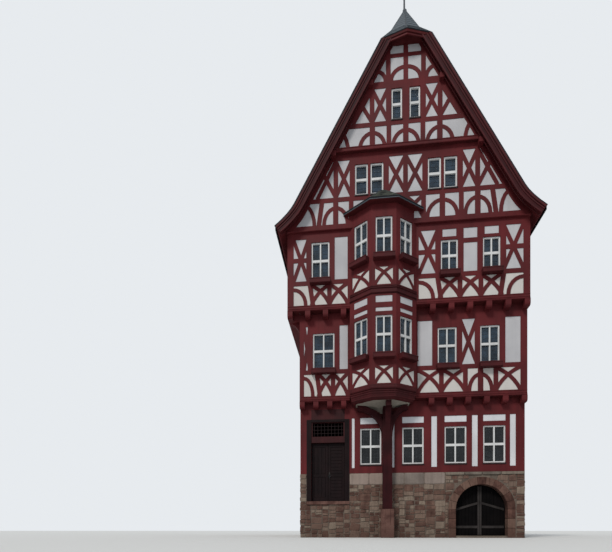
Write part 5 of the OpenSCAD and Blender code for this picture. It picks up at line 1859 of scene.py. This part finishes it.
@dataclass
class Glazing:
    """Leaded panes, sills and the boxes under the windows.

    Attributes:
        nodes: The CAD nodes by name.
        pitch: The distance of two leads, about.
        came: The width of a lead.
        came_depths: The depth of an upright lead and of a level one.
        margin: How far a lead ends short of a pane's edges, and stands out.
        sill: How far a sill is wider than its pane, its depth and its height.
        sill_place: How far its middle stands out, and how far it lies under the pane.
        rim: The thickness of a box's sides.
        rail: How far a box's rails stand out at the ends, and half their height.
        freeboard: How far the earth lies under a box's rim.
        dice: The source of all that varies.
    """

    nodes: dict[str, Thing]
    pitch: float = 0.145
    came: float = 0.0065
    came_depths: tuple[float, float] = (0.006, 0.007)
    margin: float = 0.004
    sill: tuple[float, float, float] = (0.05, 0.17, 0.05)
    sill_place: tuple[float, float] = (0.04, 0.022)
    rim: float = 0.022
    rail: tuple[float, float] = (0.006, 0.02)
    freeboard: float = 0.03
    dice: random.Random = field(default_factory=lambda: random.Random(3))

    def leads(self, panes: Sequence[Panel]) -> None:
        """Lays a grid of lead strips on every pane.

        Args:
            panes: The panes.
        """
        strip = bevelled(unit("strip"), 0.2)
        upright, level = self.came_depths
        places = []
        for pane in panes:
            columns = max(2, round(pane.width / self.pitch))
            rows = max(2, round(pane.height / self.pitch))
            size = scaled(self.came, upright, pane.height - self.margin)
            for i in range(1, columns):
                places.append(pane.place((i / columns - 0.5) * pane.width, self.margin) @ size)
            size = scaled(pane.width - self.margin, level, self.came)
            for i in range(1, rows):
                places.append(pane.place(0, self.margin, (i / rows - 0.5) * pane.height) @ size)
        handed_over(strewn("pane_leads", [strip], places, self.dice), LEAD_DARK)

    def sills(self, panes: Sequence[Panel]) -> None:
        """Puts a board that sheds rain under every window.

        Args:
            panes: The panes.
        """
        sill = unit("sill")
        choose_faces(sill, Vector((0, -1, 0)))
        with editing(sill):
            bpy.ops.transform.translate(value=(0, 0, -0.25))
        bevelled(sill, 0.08)
        more, depth, height = self.sill
        out, under = self.sill_place
        places = []
        for pane in panes:
            spot = pane.place(0, out, -pane.height / 2 - under)
            places.append(spot @ scaled(pane.width + more, depth, height))
        handed_over(strewn("window_sills", [sill], places, self.dice), SILL_TIMBER)

    def boxes(self) -> None:
        """Builds the wooden boxes full of earth under the front's windows."""
        troughs, fills = [], []
        end, half = self.rail
        inner = self.rim + 0.002
        for points in solids(self.nodes["window_boxes"]):
            panel = Panel.around(points)
            side, top = panel.width / 2, panel.height / 2
            for z in (-top + 0.03, top - 0.03):
                rail = block("rail", (-side - end, -0.012, z - half), (side + end, 0.004, z + half))
                rail.data.transform(panel.place())
                troughs.append(bevelled(rail, 0.006))
            trough = block("trough", (-side, 0, -top), (side, panel.depth, top))
            choose_faces(trough, UP)
            with editing(trough):
                bpy.ops.mesh.inset(thickness=self.rim)
                bpy.ops.mesh.extrude_region_move(
                    TRANSFORM_OT_translate={"value": (0, 0, -0.05)}
                )
            trough.data.transform(panel.place())
            troughs.append(bevelled(trough, 0.006))
            far = (side - inner, panel.depth - inner, top - self.freeboard)
            fill = block("fill", (-side + inner, inner, 0), far)
            fill.data.transform(panel.place())
            fills.append(self.rough_earth(fill))
        handed_over(joined("planters", troughs), DARK_AND_SHADED_TIMBER, replaced=("window_boxes",))
        handed_over(joined("planter_earth", fills), EARTH)

    def rough_earth(self, fill: Thing) -> Thing:
        """Breaks up the top of a box's earth.

        Args:
            fill: The block of earth.

        Returns:
            The same object.
        """
        with editing(fill, whole=True):
            bpy.ops.mesh.subdivide(number_cuts=5)
        top = max(v.co.z for v in fill.data.vertices)
        for vertex in fill.data.vertices:
            if vertex.co.z > top - NEAR:
                vertex.co.z -= self.dice.uniform(0.0, 0.018)
        return fill

    def make(self) -> None:
        """Builds all that belongs to the windows."""
        panes = [Panel.around(points) for points in solids(self.nodes["window_glass"])]
        self.leads(panes)
        self.sills(panes)
        self.boxes()


# Doors


@dataclass
class Doors:
    """The entrance's boarded leaves and the cellar gate's boards and rails.

    Attributes:
        width: The width of an entrance board, about.
        groove: The gap between two of them.
        stile: The width of an entrance leaf's uprights.
        rail: The height of its rails.
        middle_rail: The middle rail's place as a share of the leaf, and its height as a share
            of the other rails'.
        sunk: How far its boards lie behind its face, and their thickness.
        core: How far the leaf's core lies behind the boards' face.
        handle: The handle's height as a share of the leaf.
        plate: Half the width and half the height of its plate.
        ring: The radius of its ring and that of the ring's iron.
        stud: The radius of the stud that holds the ring.
        gate_radius: The radius that the gate's boards and rails keep within.
        gate_boards: The number of boards of a gate leaf.
        gap: Half the gap between two of the gate's boards.
        gate_rail: The foot and the top of the gate's rail, over the leaf's foot.
        brace: How far a brace's outer end reaches under the arch's springing and over it, and
            how far its inner end climbs.
        steps: Each board of the entrance's surround: how far it reaches outwards, how far
            over the grille, and how far it stands out.
    """

    width: float = 0.13
    groove: float = 0.006
    stile: float = 0.10
    rail: float = 0.16
    middle_rail: tuple[float, float] = (0.42, 0.8)
    sunk: tuple[float, float] = (0.012, 0.02)
    core: float = 0.012
    handle: float = 0.45
    plate: tuple[float, float] = (0.025, 0.12)
    ring: tuple[float, float] = (0.045, 0.007)
    stud: float = 0.011
    gate_radius: float = 0.925
    gate_boards: int = 7
    gap: float = 0.003
    gate_rail: tuple[float, float] = (0.28, 0.38)
    brace: tuple[float, float, float] = (0.05, 0.04, 0.26)
    steps: tuple[tuple[float, float, float], ...] = (
        (SURROUND, 0.10, 0.012), (0.10, 0.07, 0.024), (0.05, 0.04, 0.034),
    )

    def planks(self, low: Vector, high: Vector, upright: bool) -> list[Thing]:
        """Boards side by side over a rectangle.

        Args:
            low: The lowest corner.
            high: The highest corner.
            upright: Whether the boards stand.

        Returns:
            The boards.
        """
        axis = 0 if upright else 2
        count = round((high[axis] - low[axis]) / self.width)
        pitch = (high[axis] - low[axis]) / count
        boards = []
        for i in range(count):
            a, b = low.copy(), high.copy()
            a[axis] = low[axis] + i * pitch + self.groove / 2
            b[axis] = low[axis] + (i + 1) * pitch - self.groove / 2
            boards.append(board(a, b, 0.007))
        return boards

    def leaf(self, node: str, upright: bool) -> None:
        """Builds one entrance leaf: a frame round boards.

        Args:
            node: The CAD leaf.
            upright: Whether its boards stand.
        """
        low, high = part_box(node)
        stile, rail = self.stile, self.rail
        front = low.y + self.sunk[0]
        back = front + self.sunk[1]
        share, slimmer = self.middle_rail
        middle = low.z + (high.z - low.z) * share
        over = middle + rail * slimmer
        parts = [block("core", (low.x, front + self.core, low.z), high)]
        for z0, z1 in ((low.z, low.z + rail), (middle, over), (high.z - rail, high.z)):
            parts.append(board((low.x, low.y, z0), (high.x, back, z1), 0.008))
        for x in (low.x, high.x - stile):
            parts.append(board((x, low.y + 0.002, low.z), (x + stile, back, high.z), 0.008))
        for z0, z1 in ((low.z + rail, middle), (over, high.z - rail)):
            corner = Vector((low.x + stile, front, z0))
            parts += self.planks(corner, Vector((high.x - stile, back, z1)), upright)
        handed_over(joined(f"{node}_boards", parts), DARK_OAK, body=node, replaced=(node,))

    def pull(self, node: str, x: float) -> None:
        """Builds a ring handle on its plate.

        Args:
            node: The CAD leaf that carries it.
            x: Where it sits across the leaf.
        """
        low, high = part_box(node)
        y, z = low.y, low.z + (high.z - low.z) * self.handle
        wide, tall = self.plate
        plate = board((x - wide, y - 0.005, z - tall), (x + wide, y + 0.004, z + tall), 0.003)
        radius, iron = self.ring
        deselect()
        bpy.ops.mesh.primitive_torus_add(
            major_segments=24, minor_segments=8, major_radius=radius, minor_radius=iron,
            location=(x, y - 0.018, z - 0.03), rotation=(math.radians(90), 0, 0),
        )
        ring = settle(bpy.context.object)
        hook = z + 0.015
        ends = Vector((x, y + 0.002, hook)), Vector((x, y - 0.026, hook))
        stud = rod("stud", *ends, self.stud)
        handed_over(joined(f"{node}_handle", [plate, ring, stud]), IRON, body=node)

    def cellar(self, node: str, side: int) -> None:
        """Covers one cellar leaf with boards, rails and a slanting brace.

        Args:
            node: The CAD leaf.
            side: -1 for the left leaf, 1 for the right one.
        """
        low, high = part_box(node)
        middle = (high.x if side < 0 else low.x) - side * self.gap
        spring = high.z - (high.x - low.x)
        pitch = self.gate_radius / self.gate_boards
        parts = []
        for i in range(self.gate_boards):
            near, far = i * pitch + (self.gap if i else 0.004), (i + 1) * pitch - self.gap
            inner, outer = (
                spring + math.sqrt(self.gate_radius**2 - reach**2) for reach in (near, far)
            )
            x0, x1 = sorted((middle + side * near, middle + side * far))
            plank = block("board", (x0, low.y - 0.018, low.z + 0.01), (x1, low.y + 0.01, outer))
            self.rake(plank, outer, inner, side)
            parts.append(bevelled(plank, 0.004))
        handed_over(joined(f"{node}_boards", parts), CELLAR_OAK, body=node)
        self.cellar_rails(node, side, middle, spring)

    @staticmethod
    def rake(plank: Thing, top: float, inner_top: float, side: int) -> None:
        """Lifts a board's top towards the gate's middle, along the arch.

        Args:
            plank: The board.
            top: Its top.
            inner_top: The arch's height at its inner edge.
            side: -1 for a board of the left leaf, 1 for the right one.
        """
        xs = [v.co.x for v in plank.data.vertices]
        inner = max(xs) if side < 0 else min(xs)
        for vertex in plank.data.vertices:
            if abs(vertex.co.x - inner) < NEAR and vertex.co.z > top - NEAR:
                vertex.co.z = inner_top

    def cellar_rails(self, node: str, side: int, middle: float, spring: float) -> None:
        """Builds the rails of one cellar leaf.

        Args:
            node: The CAD leaf.
            side: -1 for the left leaf, 1 for the right one.
            middle: The gate's middle.
            spring: The height of the arch's springing.
        """
        low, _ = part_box(node)
        y0, y1 = low.y - 0.045, low.y - 0.016
        x0, x1 = sorted((middle + side * 0.05, middle + side * (self.gate_radius - 0.02)))
        near, far = sorted((middle + side * 0.004, middle + side * 0.075))
        top = spring + self.gate_radius * 0.97
        foot, head = self.gate_rail
        under, over, climb = self.brace
        parts = [
            board((x0, y0, low.z + foot), (x1, y1, low.z + head), 0.006),
            board((near, y0 - 0.01, low.z + 0.02), (far, y1, top), 0.006),
        ]
        brace = block("brace", (x0, y0, spring - under), (x1, y1, spring + over))
        outer = x0 if side < 0 else x1
        for vertex in brace.data.vertices:
            if abs(vertex.co.x - outer) > NEAR:
                vertex.co.z += climb
        parts.append(bevelled(brace, 0.006))
        handed_over(joined(f"{node}_rails", parts), WEATHERED_OAK, body=node)

    def surround(self) -> None:
        """Frames the doorway and the grille over it with dark, stepped boards."""
        foot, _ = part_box("entrance_posts")
        x0, x1 = doorway(0.006)
        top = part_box("entrance_grille")[1].z + 0.02
        parts = []
        for out, over, proud in self.steps:
            y0, y1 = foot.y - proud, foot.y + 0.03
            parts += [
                board((x0 - out, y0, foot.z), (x0, y1, top + over), 0.004),
                board((x1, y0, foot.z), (x1 + out, y1, top + over), 0.004),
                board((x0 - out, y0 - 0.001, top), (x1 + out, y1, top + over), 0.004),
            ]
        # The surround's dark width is partly painted shade of the jetty and the oriel beside the
        # door
        handed_over(joined("door_surround", parts), DARK_OAK)

    def make(self) -> None:
        """Builds all four leaves and the doorway's frame."""
        self.surround()
        self.leaf("entrance_leaf_left", True)
        self.leaf("entrance_leaf_right", False)
        self.pull("entrance_leaf_right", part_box("entrance_leaf_right")[0].x + 0.05)
        self.cellar("cellar_leaf_left", -1)
        self.cellar("cellar_leaf_right", 1)


# Mouldings


@dataclass
class Mouldings:
    """Rounded strips along the beams, and boards between the joist ends.

    Attributes:
        nodes: The CAD nodes by name.
        sill_strips: The height and the radius of each strip of a storey's sill beam.
        corbel_rings: The same for the strips round the oriel's base.
        band_rings: The same for the strips round the oriel's band.
        thick: The underside and the top of a soffit board, under the storey's foot.
    """

    nodes: dict[str, Thing]
    sill_strips: tuple[tuple[float, float], ...] = ((0.03, 0.026), (0.085, 0.014), (0.185, 0.016))
    corbel_rings: tuple[tuple[float, float], ...] = (
        (0.09, 0.028), (0.226, 0.024), (0.305, 0.032), (0.475, 0.022),
    )
    band_rings: tuple[tuple[float, float], ...] = ((0.47, 0.024), (0.68, 0.020))
    thick: tuple[float, float] = (0.016, 0.001)

    @staticmethod
    def strip(x0: float, x1: float, y: float, z: float, radius: float) -> Thing:
        """A half-sunk round strip along a beam of the front."""
        return rod("strip", Vector((x0, y, z)), Vector((x1, y, z)), radius, 12)

    def soffit(self, x0: float, x1: float, y0: float, y1: float, foot: float) -> Thing:
        """A board under a storey's foot, between two X and two Y."""
        under, over = self.thick
        return board((x0, y0, foot - under), (x1, y1, foot - over), 0.003)

    def soffits(self) -> None:
        """Boards the undersides of the jutting storeys."""
        first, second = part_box("front_frame_first"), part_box("front_frame_second")
        upper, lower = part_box("gable_frame_upper")[0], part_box("gable_frame_lower")[0]
        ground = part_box("front_frame_ground")[0]
        boards = []
        for (low, high), wall in ((first, ground), (second, first[0])):
            left = max(low.x, first[0].x)
            boards += self.pair(left + 0.02, high.x - 0.02, low.y + 0.02, wall.y + 0.03, low.z)
        end = upper.x + 0.03
        boards += self.pair(end, -end, upper.y - 0.01, lower.y + 0.02, upper.z)
        left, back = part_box("left_frame")
        width = (first[0].x - left.x) / 2
        for i in (0, 1):
            x0 = left.x + 0.012 + i * width
            front, foot = second[0].y + 0.03, second[0].z
            boards.append(self.soffit(x0, x0 + width, front, back.y, foot))
        # The boards' darker red is painted shade under the jutting storeys
        handed_over(joined("storey_soffits", boards), SHADED_SOFFIT_TIMBER)

    def pair(self, x0: float, x1: float, y0: float, y1: float, foot: float) -> list[Thing]:
        """Two such boards, one behind the other, with a gap between them."""
        rows = ((y0, (y0 + y1) / 2), ((y0 + y1) / 2, y1))
        return [self.soffit(x0, x1, a + 0.002, b - 0.002, foot) for a, b in rows]

    def girdle(self, node: str, height: float, radius: float) -> list[Thing]:
        """Strips round the oriel at one height of a node.

        Args:
            node: The oriel's node.
            height: The height, which goes to the node's nearest level.
            radius: The strips' radius.

        Returns:
            The strips.
        """
        points = distinct(mesh_points(self.nodes[node]), 3)
        level = min(np.unique(points[:, 2]).tolist(), key=lambda z: abs(z - height))
        front = sorted(points[points[:, 1] < points[:, 1].max() - 0.3].tolist())
        ring = [Vector(p) for p in front if abs(p[2] - level) < 1e-6]
        strips = []
        for a, b in zip(ring, ring[1:]):
            more = (b - a).normalized() * radius * 0.35
            strips.append(rod("strip", a - more, b + more, radius))
        return strips

    def girdles(self) -> None:
        """Builds the strips round the oriel's corbel and band."""
        strips = []
        for node, rings in (("oriel_corbel", self.corbel_rings), ("oriel_band", self.band_rings)):
            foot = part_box(node)[0].z
            for rise, radius in rings:
                strips += self.girdle(node, foot + rise, radius)
        # The strips' darker red is partly painted shade under the oriel
        handed_over(joined("oriel_mouldings", strips), DARK_AND_SHADED_TIMBER)

    def beams(self) -> None:
        """Builds the strips along the front's sill beams and the sill of the attic."""
        strips = []
        for node in ("front_frame_first", "front_frame_second"):
            low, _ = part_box(node)
            for solid in solids(self.nodes[node]):
                x0, x1 = float(solid[:, 0].min()), float(solid[:, 0].max())
                for rise, radius in self.sill_strips:
                    strips.append(self.strip(x0, x1, low.y, low.z + rise, radius))
        low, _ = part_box("gable_frame_lower")
        half = abs(low.x) - 0.01
        strips.append(self.strip(-half, half, low.y, low.z + 0.03, 0.03))
        low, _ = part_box("gable_frame_upper")
        half, face, foot = -low.x - 0.06, low.y, low.z
        sill = block("sill", (-half, face - 0.035, foot - 0.015), (half, face + 0.02, foot + 0.125))
        strips.append(bevelled(sill, 0.012, 2))
        for rise in (0.0, 0.115):
            strips.append(self.strip(-half, half, face - 0.03, foot + rise, 0.024))
        handed_over(joined("beam_mouldings", strips), PAINTED_TIMBER)

    def make(self) -> None:
        """Builds the soffits and all the strips."""
        self.soffits()
        self.girdles()
        self.beams()


# Stage


@dataclass
class Stage:
    """The floor, the light and the camera at the photograph's place.

    Attributes:
        photo: The photograph's width and height in pixels.
        focal: The focal length in pixels.
        horizon: The horizon's height in the photograph, from its top.
        sensor: The sensor's width in millimetres.
        turn: How far the camera is turned to the left.
        eye: The camera's place.
        floor_shade: The floor's colour.
        backdrop: The colour behind the house.
        sky: The sky's light.
        sky_power: The sky's strength.
        sunlight: The main light's colour.
        sun_power: The main light's strength.
        sun_angles: In degrees, its apparent size, its tilt and its turn.
    """

    photo: tuple[float, float] = (612.0, 552.0)
    focal: float = 433.0
    horizon: float = 530.0
    sensor: float = 36.0
    turn: float = math.radians(6.3)
    eye: tuple[float, float, float] = (-1.92, -22.59, 0.30)
    floor_shade: Colour = (0.62, 0.62, 0.61)
    backdrop: Colour = (0.80, 0.83, 0.86)
    sky: Colour = (0.88, 0.94, 1.0)
    sky_power: float = 0.62
    sunlight: Colour = (1.0, 0.96, 0.90)
    sun_power: float = 2.1
    sun_angles: tuple[float, float, float] = (14.0, 48.0, -28.0)

    def camera(self) -> None:
        """Sets the camera at the photograph's viewing place."""
        width, height = self.photo
        data = bpy.data.cameras.new("view")
        data.sensor_fit = "HORIZONTAL"
        data.sensor_width = self.sensor
        data.lens = self.focal / width * self.sensor
        data.shift_y = (self.horizon - height / 2) / width
        data.clip_end = 500
        data.dof.use_dof = False
        camera = linked("view", data)
        camera.location = self.eye
        camera.rotation_euler = (math.radians(90), 0, self.turn)
        bpy.context.scene.camera = camera

    def floor(self) -> None:
        """Lays the plain pale floor."""
        deselect()
        bpy.ops.mesh.primitive_plane_add(size=240, location=(0, 0, 0))
        floor = bpy.context.object
        floor.name = "floor"
        material, tree = new_material("pale_floor")
        shaded(tree, {"Base Color": (*self.floor_shade, 1), "Roughness": 0.9})
        floor.data.materials.append(material)

    def world(self) -> None:
        """Lights the house from a plain bright sky."""
        world = bpy.data.worlds.new("sky")
        world.use_nodes = True
        bpy.context.scene.world = world
        tree = Tree(world.node_tree)
        rays = tree.add("ShaderNodeLightPath").outputs
        seen = maths(tree, "MAXIMUM", rays["Is Camera Ray"], rays["Is Transmission Ray"])
        light, shown = (
            tree.add("ShaderNodeBackground", {"Color": (*colour, 1), "Strength": power})
            for colour, power in ((self.sky, self.sky_power), (self.backdrop, 1.0))
        )
        mix = tree.add("ShaderNodeMixShader", {0: seen, 1: light.outputs[0], 2: shown.outputs[0]})
        tree.add("ShaderNodeOutputWorld", {"Surface": mix.outputs[0]})

    def sun(self) -> None:
        """Adds the soft main light from the upper left."""
        size, tilt, turn = (math.radians(angle) for angle in self.sun_angles)
        data = bpy.data.lights.new("sun", "SUN")
        data.energy = self.sun_power
        data.angle = size
        data.color = self.sunlight
        linked("sun", data).rotation_euler = (tilt, 0, turn)

    def make(self) -> None:
        """Sets the whole stage."""
        self.camera()
        self.floor()
        self.world()
        self.sun()
        bpy.context.scene.view_settings.view_transform = "Standard"


def corners(bounds: tuple[Vector, Vector]) -> list[list[float]]:
    """A box's two corners as plain lists."""
    return [list(corner) for corner in bounds]


def main() -> None:
    """Loads the house and dresses it."""
    logging.basicConfig(level=logging.INFO, format="%(name)s: %(message)s")
    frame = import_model()
    nodes = frame["nodes"]
    slots = {part["node"]: part["material_slot"] for part in frame["record"]["subparts"]}
    weather_group()
    for relief in Relief:
        relief_group(relief)
    Stage().make()
    Carcass(nodes).dress(slots)
    Roofing(nodes).make()
    Masonry(nodes).make()
    Glazing(nodes).make()
    Doors().make()
    Mouldings(nodes).make()


if __name__ == "__main__":
    main()
